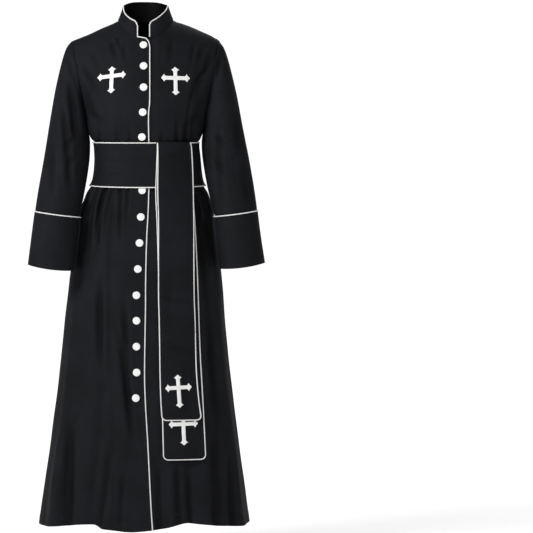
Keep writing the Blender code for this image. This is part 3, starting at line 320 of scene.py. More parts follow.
def sway(turn, z):
    """How far the garment hangs to the wearer's left, at an angle in radians and a height."""
    return smooth(SWAY, z, "x") * np.sin(turn) ** 2


def hem_rise(angle, z):
    """How far the uneven hem lifts the skirt at an angle and a height."""
    turn = (angle + 100) % 360 - 100
    return smooth(HEM, turn, "rise") * ease(z, HEM_RISE_TOP, HEM_Z)


def skirt_point(angle, z, out=0.0):
    """A point on the skirt, by angle in degrees from the centre front."""
    turn = np.radians(angle)
    width, depth = section(z, "width"), depth_at(z, np.cos(turn) < 0)
    x, y = oval(turn, width, depth)
    nx, ny = x / width ** 2, y / depth ** 2
    move = (out - fold_depth(angle, z)) / np.hypot(nx, ny)
    return stack(x + sway(turn, z) + nx * move, y + ny * move, z + hem_rise(angle, z))


def skirt_angle(x, z):
    """The angle at which the front of the skirt crosses a given x."""
    return np.degrees(np.arcsin(across(x, z) ** (POWER / 2))) * np.sign(x)


def waist_point(turn, z, out):
    """A point round the waist at a distance out from the bodice."""
    x, y = oval(turn, section(z, "width") + out, depth_at(z, np.cos(turn) < 0) + out)
    return stack(x + sway(turn, z), y, z)


def band_point(turn, z, out):
    """A point of the band, which is tilted with its front down."""
    share = (z - BAND_BOTTOM_Z) / (BAND_TOP_Z - BAND_BOTTOM_Z)
    tilt = BAND_TILT_BOTTOM + (BAND_TILT_TOP - BAND_TILT_BOTTOM) * share
    point = waist_point(turn, z, out)
    point[..., 2] += tilt * point[..., 1]
    return point


def band_angle(x, z, out):
    """The turn at which the front of the band or a fall crosses a given x."""
    angle = 0.0
    for _ in range(4):
        share = np.clip((x - sway(angle, z)) / (section(z, "width") + out), 0.0, 1.0)
        angle = np.arcsin(share ** (POWER / 2))
    return angle


def band_line(z, out, start, stop, count):
    """Points round the band at a height, from one x in front, round the back, to another."""
    first, last = band_angle(start, z, out), band_angle(stop, z, out) - 2 * pi
    return band_point(first + (last - first) * np.linspace(0.0, 1.0, count), z, out)


# ---------------------------------------------------------------- creases
# Creases laid where the cloth is seen from the front and from the back: x and z of
# both ends, the sideways bow, half width, depth (negative is a ridge), and how much of the
# length each end takes to fade.
CREASE = "x0 z0 x1 z1 bow width depth start* end*"
BODY_CREASES = (table(CREASE, (
    # drag lines that run down from the collar and across the shoulders
    (-92, -40, -72, -108, 3, 8, 1.6, 0.3, 0.5), (-58, -48, -52, -120, 2, 7, 1, 0.3, 0.6),
    (70, -40, 60, -120, -3, 8, 1.2, 0.3, 0.6), (184, -80, 118, -240, 6, 11, 2.6, 0.25, 0.5),
    (160, -60, 128, -190, 4, 8, 1.8, 0.3, 0.6), (134, -52, 120, -150, 2, 7, 1.2, 0.3, 0.6),
    (-182, -105, -128, -215, -6, 10, 2, 0.3, 0.55), (-150, -70, -120, -150, -4, 8, 1.2, 0.3, 0.6),
    (-76, -36, -66.5, -76, 1, 5, 1.4, 0.1, 0.5),
    # the left front's curved panel seam, from the armhole over the bust to the band
    (172, -122, 128, -168, 4, 4.5, 1.1, 0.05, 0.05),
    (128, -168, 120, -208, -1, 4.5, 1.1, 0.05, 0.05),
    (120, -208, 108, -345, 2, 4.5, 1, 0.05, 0.05),
    # hollows beside the armholes, deepest at the underarm
    (-172, -150, -138, -300, -6, 11, 1.3, 0.4, 0.3), (166, -160, 136, -300, 5, 11, 1.3, 0.4, 0.3),
    (-150, -240, -108, -290, -6, 9, 1.5, 0.3, 0.6), (148, -240, 112, -296, 6, 9, 1.5, 0.3, 0.6),
    # tucks where the band gathers the bodice
    (-129, -250, -124, -345, 1, 6, 1.8, 0.6, 0.05),
    (-103, -275, -104, -345, 1, 6, -1.2, 0.6, 0.05), (-78, -255, -74, -345, 1, 6, 1.8, 0.6, 0.05),
    (-40, -265, -40, -345, 1, 5, 1.3, 0.6, 0.05), (46, -280, 44, -345, 1, 6, 1.2, 0.6, 0.05),
    (89, -245, 84, -345, 2, 6, 1.8, 0.6, 0.05), (111, -250, 106, -345, 1, 6, 1.6, 0.6, 0.05),
    (130, -260, 124, -345, 1, 6, 1.4, 0.6, 0.05),
    # folds of the skirt
    (-104, -435, -130, -640, 10, 6.5, 3.4, 0.03, 0.6),
    (-93, -440, -118, -600, 9, 6, -2.2, 0.05, 0.6), (-68, -435, -71, -620, 1, 5.2, 2.6, 0.03, 0.6),
    (-128, -435, -150, -560, 4, 7, 1.2, 0.03, 0.6), (-46, -435, -48, -540, 1, 5, 1.6, 0.03, 0.6),
    (-122, -660, -112, -980, 6, 9, 2.4, 0.4, 0.5),
    (-82, -790, -36, -1130, -4, 8.5, 3.4, 0.35, 0.45),
    (-60, -700, -34, -1160, 2, 9, 2.6, 0.3, 0.35), (-150, -470, -172, -760, -4, 11, 2.2, 0.1, 0.6),
    (-115, -640, -128, -1000, 4, 12, 1.4, 0.35, 0.5),
    (-96, -1110, -128, -1366, -3, 10, 2.2, 0.4, 0),
    (-200, -1040, -206, -1366, 4, 16, 3.6, 0.4, 0.05),
    (-240, -1160, -248, -1366, 2, 12, -2, 0.4, 0), (-58, -1180, -68, -1366, 3, 8, 1.8, 0.4, 0),
    (-88, -1230, -94, -1366, 1, 7, -1.2, 0.4, 0), (36, -1140, 38, -1366, 2, 10, 2.2, 0.4, 0),
    (84, -1150, 94, -1366, 3, 10.5, 2.8, 0.3, 0), (70, -1170, 72, -1366, 2, 9, -1.2, 0.45, 0),
    (116, -1180, 122, -1366, 2, 10, 2, 0.4, 0), (140, -460, 146, -600, 2, 7, 2.6, 0.03, 0.6),
    (162, -520, 176, -700, 4, 9, 2, 0.2, 0.6), (146, -470, 170, -800, 4, 10, 2.4, 0.1, 0.6),
    (170, -700, 198, -1120, 6, 14, 2.4, 0.4, 0.5), (178, -1060, 190, -1366, -4, 14, 3, 0.4, 0),
    (226, -1120, 236, -1366, 2, 12, 2.2, 0.4, 0),
)), table(CREASE, (
    # the curved panel seams from the armholes to the band, and down into the gathers
    (140, -98, 113, -200, -3, 4.5, 1, 0.05, 0.05), (113, -200, 107, -345, 1, 4.5, 1, 0.05, 0.05),
    (-140, -98, -113, -200, 3, 4.5, 1, 0.05, 0.05),
    (-113, -200, -107, -345, -1, 4.5, 1, 0.05, 0.05),
    # the centre seam
    (0.4, -15, 0.4, -345, 0, 3, 0.8, 0, 0), (0.4, -440, 0.4, -1366, 0, 3, 0.3, 0, 0),
    # yoke and shoulder blades
    (132, -60, 112, -150, -4, 9, 1.4, 0.3, 0.6), (-136, -60, -114, -155, 4, 9, 1.4, 0.3, 0.6),
    (176, -150, 136, -240, 6, 10, 2.2, 0.25, 0.55),
    (-176, -150, -134, -245, -6, 10, 2.2, 0.25, 0.55),
    (160, -200, 136, -300, 4, 11, 1.3, 0.4, 0.3), (-160, -200, -136, -300, -4, 11, 1.3, 0.4, 0.3),
    (30, -60, 50, -140, 4, 9, 1, 0.3, 0.6), (-30, -60, -52, -140, -4, 9, 1, 0.3, 0.6),
    (80, -262, 78, -345, 1, 6, 1.4, 0.6, 0.05), (30, -270, 29, -345, 1, 6, 1.2, 0.6, 0.05),
    (-34, -268, -34, -345, 1, 6, 1.2, 0.6, 0.05), (-86, -258, -84, -345, 1, 6, 1.4, 0.6, 0.05),
    # gathers under the band and folds down the skirt
    (117, -435, 124, -640, 3, 7.5, 2, 0.03, 0.6), (60, -435, 64, -580, 2, 7, 1.8, 0.03, 0.6),
    (18, -435, 20, -560, 1, 5.5, 1, 0.03, 0.6), (-42, -435, -46, -600, 2, 6, 1.3, 0.03, 0.6),
    (-91, -435, -100, -620, 3, 7, 1.6, 0.03, 0.6), (-118, -440, -136, -860, -6, 8, 2.2, 0.05, 0.5),
    (4, -440, 14, -760, 1, 7, 1.5, 0.1, 0.55), (140, -640, 152, -880, 3, 12, 1.6, 0.4, 0.5),
    (-173, -720, -206, -1170, -6, 11, 4.4, 0.35, 0.45),
    (100, -900, 116, -1366, 4, 14, 2.4, 0.4, 0), (180, -1000, 196, -1366, 4, 16, 2.8, 0.4, 0),
    (-70, -960, -86, -1366, -4, 14, 2.4, 0.4, 0), (-140, -1040, -156, -1366, -4, 13, -2.2, 0.4, 0),
    (40, -1120, 50, -1366, 2, 11, 1.8, 0.4, 0),
)))
SLEEVE_CREASES = (table(CREASE, (
    (-214, -130, -190, -330, -6, 11, 3, 0.35, 0.3), (-230, -200, -204, -480, -6, 9, 2.4, 0.3, 0.3),
    (-250, -300, -248, -500, 5, 10, 1.6, 0.4, 0.35), (-178, -300, -226, -356, 4, 8, 1.5, 0.4, 0.6),
    (-176, -345, -218, -420, 5, 8, 1.3, 0.4, 0.6), (-216, -85, -196, -160, -3, 8, 1.6, 0.25, 0.6),
    (206, -80, 192, -180, 3, 8, 1.8, 0.25, 0.6), (236, -190, 248, -400, -5, 11, 1.3, 0.35, 0.4),
    (200, -240, 206, -500, 6, 10, 1.4, 0.3, 0.25), (178, -300, 224, -348, -4, 8, 1.5, 0.4, 0.6),
    (176, -350, 222, -440, -5, 8, 1.3, 0.4, 0.6), (266, -330, 276, -500, 3, 9, 1.4, 0.4, 0.3),
)), table(CREASE, (
    (-216, -110, -190, -300, -5, 11, 2.6, 0.35, 0.4),
    (-236, -220, -224, -480, -6, 10, 2.6, 0.3, 0.25),
    (-180, -300, -228, -352, 4, 8, 1.4, 0.4, 0.6), (-262, -320, -266, -500, 3, 9, 1.4, 0.4, 0.3),
    (214, -110, 192, -300, 5, 11, 2.6, 0.35, 0.4), (238, -220, 224, -480, 6, 10, 2.4, 0.3, 0.25),
    (180, -300, 228, -362, -4, 8, 1.4, 0.4, 0.6), (264, -340, 270, -500, 3, 9, 1.4, 0.4, 0.3),
)))
BAND_CREASES = (table(CREASE, (
    (-120, -372, -20, -380, 2, 6, 0.8, 0.3, 0.4), (-110, -412, -50, -408, 1, 5, 0.6, 0.3, 0.4),
)), table(CREASE, (
    (-120, -366, 20, -372, 3, 6, 0.8, 0.3, 0.4), (30, -402, 130, -396, 2, 6, 0.8, 0.3, 0.4),
)))
FALL_CREASES = (table(CREASE, (
    # soft cross creases where the falls were folded, and slack beside the edges
    (40, -738, 128, -746, 3, 9, 0.7, 0.15, 0.15), (36, -862, 124, -884, -4, 11, 0.8, 0.1, 0.3),
    (50, -590, 118, -584, 2, 10, 0.5, 0.3, 0.3), (60, -470, 104, -474, 2, 9, 0.5, 0.3, 0.3),
    (56, -360, 112, -352, 2, 8, 0.5, 0.3, 0.3), (70, -640, 64, -840, 3, 10, 0.5, 0.4, 0.4),
    (106, -900, 112, -1050, 3, 10, 0.6, 0.4, 0.2), (60, -1090, 130, -1098, 3, 9, 0.6, 0.2, 0.3),
)), ())
PLAIN = ((), ())
CREASE_GAIN = 1.9       # all creases are this much deeper than their rows say
SHOULDERED = 0.35       # how far the cloth rises beside a trough, as a share of its depth
SHOULDERS_AT, SHOULDERS_WIDE = 1.7, 0.5     # where it does, in half widths of the crease
BRIEFEST_FADE = 0.01    # share of a crease's length over which its ends fade at the least
FACING = (0.05, 0.50)   # how squarely cloth has to face a side to take that side's creases
DEEP = 0.0040           # a crease this deep takes the darkest painted shade
RIPPLES = table("x* y* z* phase* depth", (
    (21, 13, 9, 0.4, 0.6), (-14, 22, 17, 1.9, 0.5), (37, -29, 23, 4.1, 0.28),
    (9, 41, -48, 2.6, 0.18),
))


def crease_depth(x, z, rows):
    """How deep the creases are at x and z, seen from the front or the back."""
    total = np.zeros(np.broadcast(x, z).shape)
    for row in rows:
        dx, dz = row.x1 - row.x0, row.z1 - row.z0
        size = np.hypot(dx, dz)
        t = ((x - row.x0) * dx + (z - row.z0) * dz) / size ** 2
        aside = ((x - row.x0) * dz - (z - row.z0) * dx) / size
        q = np.abs(aside - row.bow * 4 * t * (1 - t)) / row.width
        shape = np.exp(-q * q) - SHOULDERED * np.exp(-(q - SHOULDERS_AT) ** 2 / SHOULDERS_WIDE)
        fade = (ease(t, 0.0, max(row.start, BRIEFEST_FADE))
                * ease(1 - t, 0.0, max(row.end, BRIEFEST_FADE)))
        total += CREASE_GAIN * row.depth * shape * fade
    return total


def relief(point, normal, creases):
    """How far the cloth stands out of its plain form at points with the given normals."""
    x, y, z = np.moveaxis(point, -1, 0)
    rise = 0.0
    for rows, facing in zip(creases, (-normal[..., 1], normal[..., 1])):
        rise = rise - crease_depth(x, z, rows) * ease(facing, *FACING)
    for row in RIPPLES:
        rise = rise + row.depth * np.sin(row.x * x + row.y * y + row.z * z + row.phase)
    return rise


# ---------------------------------------------------------------- making shells
SIDES = {"first": (0, 0), "last": (0, -1), "left": (1, 0), "right": (1, -1)}    # axis, end
RIM_IN = 6              # rows in from a rim where the cloth's own direction is steady
SEAM_SINK, SEAM_WIDTH = 0.0013, 0.0026
SEAM_STEPS = (0.0006, 0.0014, 0.0024, 0.0038)       # rows laid this close to a seam,
BODICE_WIDE, BODICE_TALL, SKIRT_WIDE = 0.16, 0.36, 0.30     # in pieces of about these sizes
SLEEVE_LONG, CUFF_LONG, COLLAR_TALL = 0.46, 0.15, 0.04
SHARP_ANGLE = radians(50)           # faces that meet at more than this look sharp
ALLOWANCE_DOWN = CLOTH + 0.0006     # how far inside its neighbour a seam allowance lies
ALLOWANCE = (0.0001, 0.0008, 0.0018, 0.0028, 0.0038)


def grid_normals(grid, outward, ring=False):
    """Normals of a grid of points; outward points out of the garment at the grid's middle."""
    if ring:
        wide = np.concatenate((grid[:, -1:], grid, grid[:, :1]), axis=1)
        round_way = np.gradient(wide, axis=1)[:, 1:-1]
    else:
        round_way = np.gradient(grid, axis=1)
    normal = unit(np.cross(round_way, np.gradient(grid, axis=0)))
    middle = normal[grid.shape[0] // 2, grid.shape[1] // 2]
    return normal if np.dot(middle, outward) > 0 else -normal


def rim_distance(grid, side):
    """Distance of each point of a grid from one of its rims, measured along the cloth."""
    axis, end = SIDES[side]
    run = np.moveaxis(run_along(np.moveaxis(grid, axis, 0)), 0, axis)
    return np.take(run, [-1], axis=axis) - run if end else run


def inside(grid, side):
    """The row of a grid that lies a little way in from one of its rims."""
    axis, end = SIDES[side]
    return np.take(grid, end - RIM_IN if end else RIM_IN, axis=axis)


def steps(count, length=1.0, ends=""):
    """Even steps from 0 to 1, with a few more close to the ends where a seam lies."""
    near = np.array(SEAM_STEPS) / length
    more = [near] * ("0" in ends) + [1.0 - near] * ("1" in ends)
    return np.sort(np.concatenate([np.linspace(0.0, 1.0, count + 1)] + more))


def add(name, data):
    """A new object in the scene."""
    item = bpy.data.objects.new(name, data)
    bpy.context.scene.collection.objects.link(item)
    return item


def belongs(piece, solid):
    """Let a piece ride on the one body and stand for a solid."""
    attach(piece, "root")
    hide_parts(solid)


def make_mesh(name, verts, faces, *looks):
    """A smooth mesh of points and faces; what lies on the left shoulder is raised."""
    verts = np.array(verts, float)
    lift = smooth(LEFT_LIFT, verts[:, 0], "lift") * ease(verts[:, 2], *LIFT_HEIGHTS)
    verts[:, 2] += np.where(verts[:, 0] > 0, lift, 0.0)
    mesh = bpy.data.meshes.new(name)
    mesh.from_pydata(verts.tolist(), [], faces)
    for look in looks:
        mesh.materials.append(look)
    mesh.shade_smooth()
    mesh.set_sharp_from_angle(angle=SHARP_ANGLE)
    return add(name, mesh)


def quads(rows, columns, ring=False):
    """The faces of a grid whose points are numbered row by row."""
    number = np.arange(rows * columns).reshape(rows, columns)
    beside = np.roll(number, -1, axis=1)
    if not ring:
        number, beside = number[:, :-1], beside[:, :-1]
    return np.stack((number[:-1], beside[:-1], beside[1:], number[1:]), -1).reshape(-1, 4)


def shell(name, outer, normal, looks, ring, planes, fold):
    """A closed cloth wall under a grid of outer points; the last look is its lining, near black as
    painted shade inside.

    planes gives, for a rim, the normal of the seam plane in which its edge lies. fold says how
    deep in a crease each point lies, where the twill is darkened as painted shade.
    """
    rows, columns = outer.shape[:2]
    down = -normal
    for side, plane in planes.items():
        axis, end = SIDES[side]
        part = inside(down, side)
        np.moveaxis(down, axis, 0)[end] = unit(part - plane * (part @ plane)[..., None])
    verts = np.concatenate((outer, outer + down * CLOTH)).reshape(-1, 3)
    half = rows * columns
    top = quads(rows, columns, ring)
    number = np.arange(half).reshape(rows, columns)
    rims = [number[0, ::-1], number[-1]]
    if not ring:
        rims = [np.concatenate((number[:-1, 0], number[-1, :-1], number[:0:-1, -1],
                                number[0, :0:-1]))]
    walls = [np.stack((rim, np.roll(rim, -1), np.roll(rim, -1) + half, rim + half), -1)
             for rim in rims]
    faces = np.concatenate((top, top[:, [0, 3, 2, 1]] + half, *walls))
    i, j = rows // 2, columns // 2
    turned = np.cross(outer[i, (j + 1) % columns] - outer[i, j], outer[i + 1, j] - outer[i, j])
    if np.dot(turned, normal[i, j]) < 0:
        faces = faces[:, ::-1]
    piece = make_mesh(name, verts, faces.tolist(), *looks)
    # The inner faces take the last look: the lining, near black as painted shade inside the
    # garment.
    painted_shade_lining_index = np.zeros(len(faces), int)
    painted_shade_lining_index[len(top):2 * len(top)] = len(looks) - 1
    piece.data.polygons.foreach_set("material_index", painted_shade_lining_index)
    # The fold attribute darkens the twill deep in the creases as painted shade.
    shade = piece.data.attributes.new("fold", "FLOAT", "POINT")
    shade.data.foreach_set("value", np.concatenate((fold, fold), axis=None))
    return piece


def with_allowance(outer, normal, sides):
    """Add the allowance that is pressed under the next piece beyond each of these rims."""
    for side in sides:
        axis, end = SIDES[side]
        edge, facing = np.take(outer, end, axis=axis), inside(normal, side)
        way = edge - inside(outer, side)
        way = unit(way - facing * np.sum(way * facing, axis=-1, keepdims=True))
        rows = [edge + way * far - facing * ALLOWANCE_DOWN for far in ALLOWANCE]
        rows = np.stack(rows if end else rows[::-1], axis=axis)
        more = np.stack([facing] * len(ALLOWANCE), axis=axis)
        outer = np.concatenate((outer, rows) if end else (rows, outer), axis=axis)
        normal = np.concatenate((normal, more) if end else (more, normal), axis=axis)
    return outer, normal


def cut_size(grid, ring):
    """Width, length and area of the flat piece that a grid of points was cut as."""
    if ring:
        grid = np.concatenate((grid, grid[:, :1]), axis=1)
    width = run_along(grid.swapaxes(0, 1))[-1].max()
    length = run_along(grid)[-1].max()
    one = np.cross(grid[1:, 1:] - grid[:-1, :-1], grid[1:, :-1] - grid[:-1, 1:])
    area = np.linalg.norm(one, axis=-1).sum() / 2
    return float(width), float(length), float(min(area, width * length))


def cloth(solid, grid, looks, creases, outward, ring=False, seams=(), planes=None,
          extra=None, allowance=()):
    """A sewn piece in place of its solid: a form, creased and sunk at its seams.

    extra gives, from the normals, how much further each point lies out of the form.
    """
    normal = grid_normals(grid, outward, ring)
    rise = relief(grid, normal, creases)
    for side in seams:
        rise = rise - SEAM_SINK * np.exp(-(rim_distance(grid, side) / SEAM_WIDTH) ** 2)
    if extra:
        rise = rise + extra(normal)
    outer, normal = with_allowance(grid + normal * rise[..., None], normal, allowance)
    more = [len(ALLOWANCE) * (side in allowance) for side in SIDES]
    # How deep in a crease each point lies, which darkens the twill there as painted shade.
    fold = np.pad(np.clip(-rise / DEEP, 0.0, 1.0), (more[:2], more[2:]), mode="edge")
    planes = {side: plane for side, plane in (planes or {}).items()
              if side not in allowance}
    piece = shell("cloth_" + solid, outer, normal, looks, ring, planes, fold)
    belongs(piece, solid)
    width, length, area = cut_size(outer, ring)


# ---------------------------------------------------------------- looks
def new_node(tree, kind, **settings):
    """A shader node; names in capitals are its sockets, with _ for a space."""
    made = tree.nodes.new("ShaderNode" + kind)
    for key, value in settings.items():
        if key[0].isupper():
            made.inputs[key.replace("_", " ")].default_value = value
        else:
            setattr(made, key, value)
    return made


def link(source, target):
    source.id_data.links.new(source, target)


def spread(factor, low, high, **settings):
    """Spread a factor from 0 to 1 over a range of values."""
    change = new_node(factor.id_data, "MapRange", To_Min=low, To_Max=high, **settings)
    link(factor, change.inputs["Value"])
    return change.outputs["Result"]


def tint(factor, *colours):
    """A colour between two by a factor; each is three numbers or a socket."""
    mix = new_node(factor.id_data, "Mix", data_type="RGBA")
    link(factor, mix.inputs[0])
    sockets = [socket for socket in mix.inputs if socket.type == "RGBA"]
    for socket, colour in zip(sockets, colours):
        if isinstance(colour, tuple):
            socket.default_value = (*colour, 1.0)
        else:
            link(colour, socket)
    return next(socket for socket in mix.outputs if socket.type == "RGBA")


def wave(scale, distortion, detail, way="DIAGONAL", **settings):
    """Settings of a texture of fine threads or ribs."""
    return dict(kind="TexWave", Scale=scale, Distortion=distortion, Detail=detail,
                wave_type="BANDS", bands_direction=way, **settings)


def noise(scale, detail, **settings):
    """Settings of a texture of soft clouds, or of grain if its scale is high."""
    return dict(kind="TexNoise", Scale=scale, Detail=detail, **settings)


def new_shader(block):
    """The node tree of a new material or world."""
    block.use_nodes = True
    return block.node_tree


def material(name, textures, colour, roughness, bumps, **finish):
    """A material that is shaded by textures in the object's space.

    colour names a texture and the two colours that it mixes, roughness names one and its two
    ends, and each of bumps names one with its strength and distance. finish gives the
    shader's own values, which are the same all over.
    """
    made = bpy.data.materials.new(name)
    tree = new_shader(made)
    shader = tree.nodes["Principled BSDF"]
    place = new_node(tree, "TexCoord").outputs["Object"]
    for key, settings in textures.items():
        texture = new_node(tree, **settings)
        link(place, texture.inputs["Vector"])
        textures[key] = texture.outputs["Fac"]
    link(colour(tree, textures) if callable(colour)
         else tint(textures[colour[0]], *colour[1:]), shader.inputs["Base Color"])
    link(spread(textures[roughness[0]], *roughness[1:]), shader.inputs["Roughness"])
    target = shader.inputs["Normal"]
    for key, strength, distance in reversed(bumps):
        bump = new_node(tree, "Bump", Strength=strength, Distance=distance)
        link(textures[key], bump.inputs["Height"])
        link(bump.outputs["Normal"], target)
        target = bump.inputs["Normal"]
    for key, value in finish.items():
        shader.inputs[key.replace("_", " ")].default_value = value
    return made


def dye_and_painted_crease_shade(tree, textures):
    """The twill's black: slightly uneven dye, and darkened deep in the creases as painted shade.
    """
    dye = tint(spread(textures["cloud"], -0.4, 1.4),
               (0.0056, 0.0060, 0.0073), (0.0106, 0.0114, 0.0140))
    # Painted shade: the colour goes towards near black deep in the creases.
    crease_shade = new_node(tree, "Attribute", attribute_name="fold").outputs["Fac"]
    return tint(spread(crease_shade, 0.0, 0.70), dye, (0.0016, 0.0016, 0.0018))


# Polyester twill: fine diagonal ribs, a faint sheen, slightly uneven dye and nap, and painted
# shade deep in the creases.
TWILL = material(
    "black_twill",
    dict(ribs=wave(190.0, 0.6, 1.0, Detail_Scale=6.0), yarn=noise(900.0, 2.0),
         cloud=noise(14.0, 5.0, Roughness=0.62), soft=noise(30.0, 3.0, Roughness=0.5)),
    dye_and_painted_crease_shade, ("cloud", 0.62, 0.80),
    (("ribs", 0.35, 0.0004), ("yarn", 0.30, 0.0003), ("soft", 0.35, 0.004)),
    Specular_IOR_Level=0.08, Sheen_Weight=0.008, Sheen_Roughness=0.40,
    Sheen_Tint=(0.75, 0.80, 0.95, 1.0))
# Thin lining satin, near black as painted shade for the inside of the garment, with a fine cross
# thread and a low sheen.
LINING_IN_PAINTED_SHADE = material(
    "lining_painted_shade", dict(thread=wave(260.0, 0.4, 1.0, "Z"), slack=noise(24.0, 3.0)),
    ("slack", (0.0012, 0.0012, 0.0013), (0.0026, 0.0026, 0.0029)), ("slack", 0.48, 0.66),
    (("thread", 0.20, 0.0002), ("slack", 0.30, 0.003)), Specular_IOR_Level=0.05)
# The cloth outside and the lining inside, whose near black is painted shade.
LINED_IN_PAINTED_SHADE = (TWILL, LINING_IN_PAINTED_SHADE)
# Polyester thread, a little glossier than the cloth, with a tight twist.
THREAD = material(
    "black_thread", dict(twist=wave(420.0, 0.8, 1.0)),
    ("twist", (0.0200, 0.0200, 0.0230), (0.0420, 0.0420, 0.0460)), ("twist", 0.38, 0.55),
    (("twist", 0.40, 0.0002),), Specular_IOR_Level=0.30)
# Satin over cord: fine stitched ridges across it and a little grime in the dips.
COVER = material(
    "white_piping", dict(ridges=wave(260.0, 1.2, 2.0), cloud=noise(60.0, 4.0)),
    ("cloud", (0.66, 0.66, 0.65), (0.86, 0.86, 0.85)), ("ridges", 0.42, 0.60),
    (("ridges", 0.4, 0.0004),), Sheen_Weight=0.15)
# Satin stitch: parallel glossy threads over padding.
EMBROIDERY = material(
    "white_applique", dict(threads=wave(300.0, 0.8, 1.5), cloud=noise(90.0, 3.0)),
    ("cloud", (0.74, 0.74, 0.73), (0.90, 0.90, 0.89)), ("threads", 0.36, 0.55),
    (("threads", 0.5, 0.0004),), Sheen_Weight=0.10)
# Moulded pearly resin: soft clouds in the colour, a clear gloss and fine scuffs.
PEARL = material(
    "white_button", dict(cloud=noise(110.0, 3.0, Distortion=1.4), scuff=noise(1400.0, 2.0)),
    ("cloud", (0.72, 0.72, 0.72), (0.93, 0.93, 0.91)), ("scuff", 0.16, 0.34),
    (("scuff", 0.15, 0.0003),), Coat_Weight=0.35, Coat_Roughness=0.12)

# The cloth blouses over the band at the side seams until it meets the sleeve, which in turn
# swells a little towards it, and the skirt swells below it: middle height, half height and
# size of each bulge.
BLOUSE = (-0.2720, 0.0360, 0.0034)
SLEEVE_BULGE = (-0.2660, 0.0380, 0.0034)
SKIRT_BULGE = (-0.4990, 0.0300, 0.0032)
BULGE_TILT = 0.0090     # they lie this much higher on the left and lower on the right
BULGE_FACING = (0.55, 0.95)     # how squarely cloth has to face sideways to swell


def bulge(grid, sideways, middle, half, size):
    """A soft bulge round one height, on the parts that face sideways."""
    middle = middle + BULGE_TILT * np.sign(grid[..., 0])
    level = np.exp(-((grid[..., 2] - middle) / half) ** 2)
    return size * level * ease(sideways, *BULGE_FACING)


# ---------------------------------------------------------------- bodice and skirt
ROWS_TOTAL = SIDE_ROWS + ARMHOLE_ROWS


def under_drop(x, z):
    """How far the left front lies inside the form, where the right front laps over it."""
    drop = CLOTH + UNDERLAP_DROP + THROAT_DROP * ease(z, *THROAT_HEIGHTS)
    return drop * (1 - ease(x - edge_x(z), *LAP_RISE))


def middle_edge(v, sign, back, underlaps):
    """The bodice's middle edge: up to the throat or the nape, then along the neckline."""
    straight = ROWS_TOTAL - NECK_ROWS
    lap, lower = (UNDERLAP, UNDERLAP_LOWER) if underlaps else (0.0, 0.0)
    waist = WAIST_Z + SEAM / 2
    top = neck_point(pi)[2] if back else THROAT_Z - lower
    z = waist + (top - waist) * np.interp(v, np.arange(len(MIDDLE_SHARES)), MIDDLE_SHARES)
    x = np.full_like(z, SEAM / 2) if back else sign * edge_x(z) - lap
    angle = NECK_STEP * np.clip(v - straight, 0.0, NECK_ROWS)
    neck = neck_point(pi - angle if back else angle)
    if not back:
        turn = np.clip(v - straight, 0.0, 1.0)[:, None]
        start = np.array((sign * edge_x(top) - lap, 0.0, top))
        lead = start * (1 - turn) + neck_point(NECK_STEP) * turn
        neck = np.where((v <= straight + 1)[:, None], lead, neck)
    return np.where(v <= straight, (x, z), neck[:, [0, 2]].T)


def side_edge(v):
    """The bodice's other edge: up the side seam, then round the armhole."""
    z = np.interp(v, np.arange(SIDE_ROWS + 1), SIDE_HEIGHTS)
    return np.where(v <= SIDE_ROWS, (section(z, "width"), z),
                    armhole_point(np.maximum(v - SIDE_ROWS, 0.0)))


def bodice_grid(sign, back, underlaps):
    """One quarter of the bodice; rows run up from the waist to the shoulder seam."""
    u = steps(92, BODICE_WIDE, "01" if back else "1")
    v = steps(88, BODICE_TALL, "01") * ROWS_TOTAL
    mid_x, mid_z = middle_edge(v, sign, back, underlaps)
    side_x, side_z = side_edge(v)
    upper = ease(v, SIDE_ROWS, ROWS_TOTAL)[:, None]
    s = np.sin(u * pi / 2) * (1 - upper) + u * upper
    x = mid_x[:, None] + (side_x - mid_x)[:, None] * s
    start, end = climb(mid_x, mid_z)[:, None], climb(side_x, side_z)[:, None]
    z = climb_z(x, np.minimum(start + (end - start) * s, 1.0))
    y = reach(x, z, back)
    z[-1] = shoulder_z(x[-1])
    y[-1] = 0.0
    y[v <= SIDE_ROWS, -1] = 0.0
    if underlaps:
        y = y - under_drop(x, z)
    y = np.maximum(y, SEAM / 2)
    hang = smooth(SWAY, z, "x") * across(x, z) ** POWER
    return stack(sign * x + hang, y if back else -y, z)


def make_bodice():
    for name, sign, back, under in (("front_right_bodice", -1, False, ("last", "right")),
                                    ("front_left_bodice", 1, False, ("last", "right")),
                                    ("back_right_bodice", -1, True, ("left",)),
                                    ("back_left_bodice", 1, True, ())):
        grid = bodice_grid(sign, back, name == "front_left_bodice")
        planes = {"first": Z_AXIS, "last": Y_AXIS}
        if back:
            planes["left"] = X_AXIS
        cloth(name, grid, LINED_IN_PAINTED_SHADE, BODY_CREASES, Y_AXIS if back else -Y_AXIS,
              seams=(*planes, "right"), planes=planes, allowance=under,
              extra=lambda normal: bulge(grid, np.abs(normal[..., 0]), *BLOUSE))


HEM_TURNED = 0.0260     # depth of the turned-up hem
HEM_THICKER, HEM_SINK = 0.0005, 0.0005
HEM_EDGE, HEM_SEWN = 0.0012, 0.0016         # half heights of the turned edge and of its seam
HEM_FINE = HEM_TURNED + 0.016               # rows lie closer together up to here
FLARE_Z = -0.500        # down to here the skirt's rows lie closer together


def seam_angle(angle, sign):
    """Keep half a seam's gap from a seam at an angle; sign says on which side of it."""
    return lambda z: angle + sign * np.degrees(SEAM / 2 / section(z, "front"))


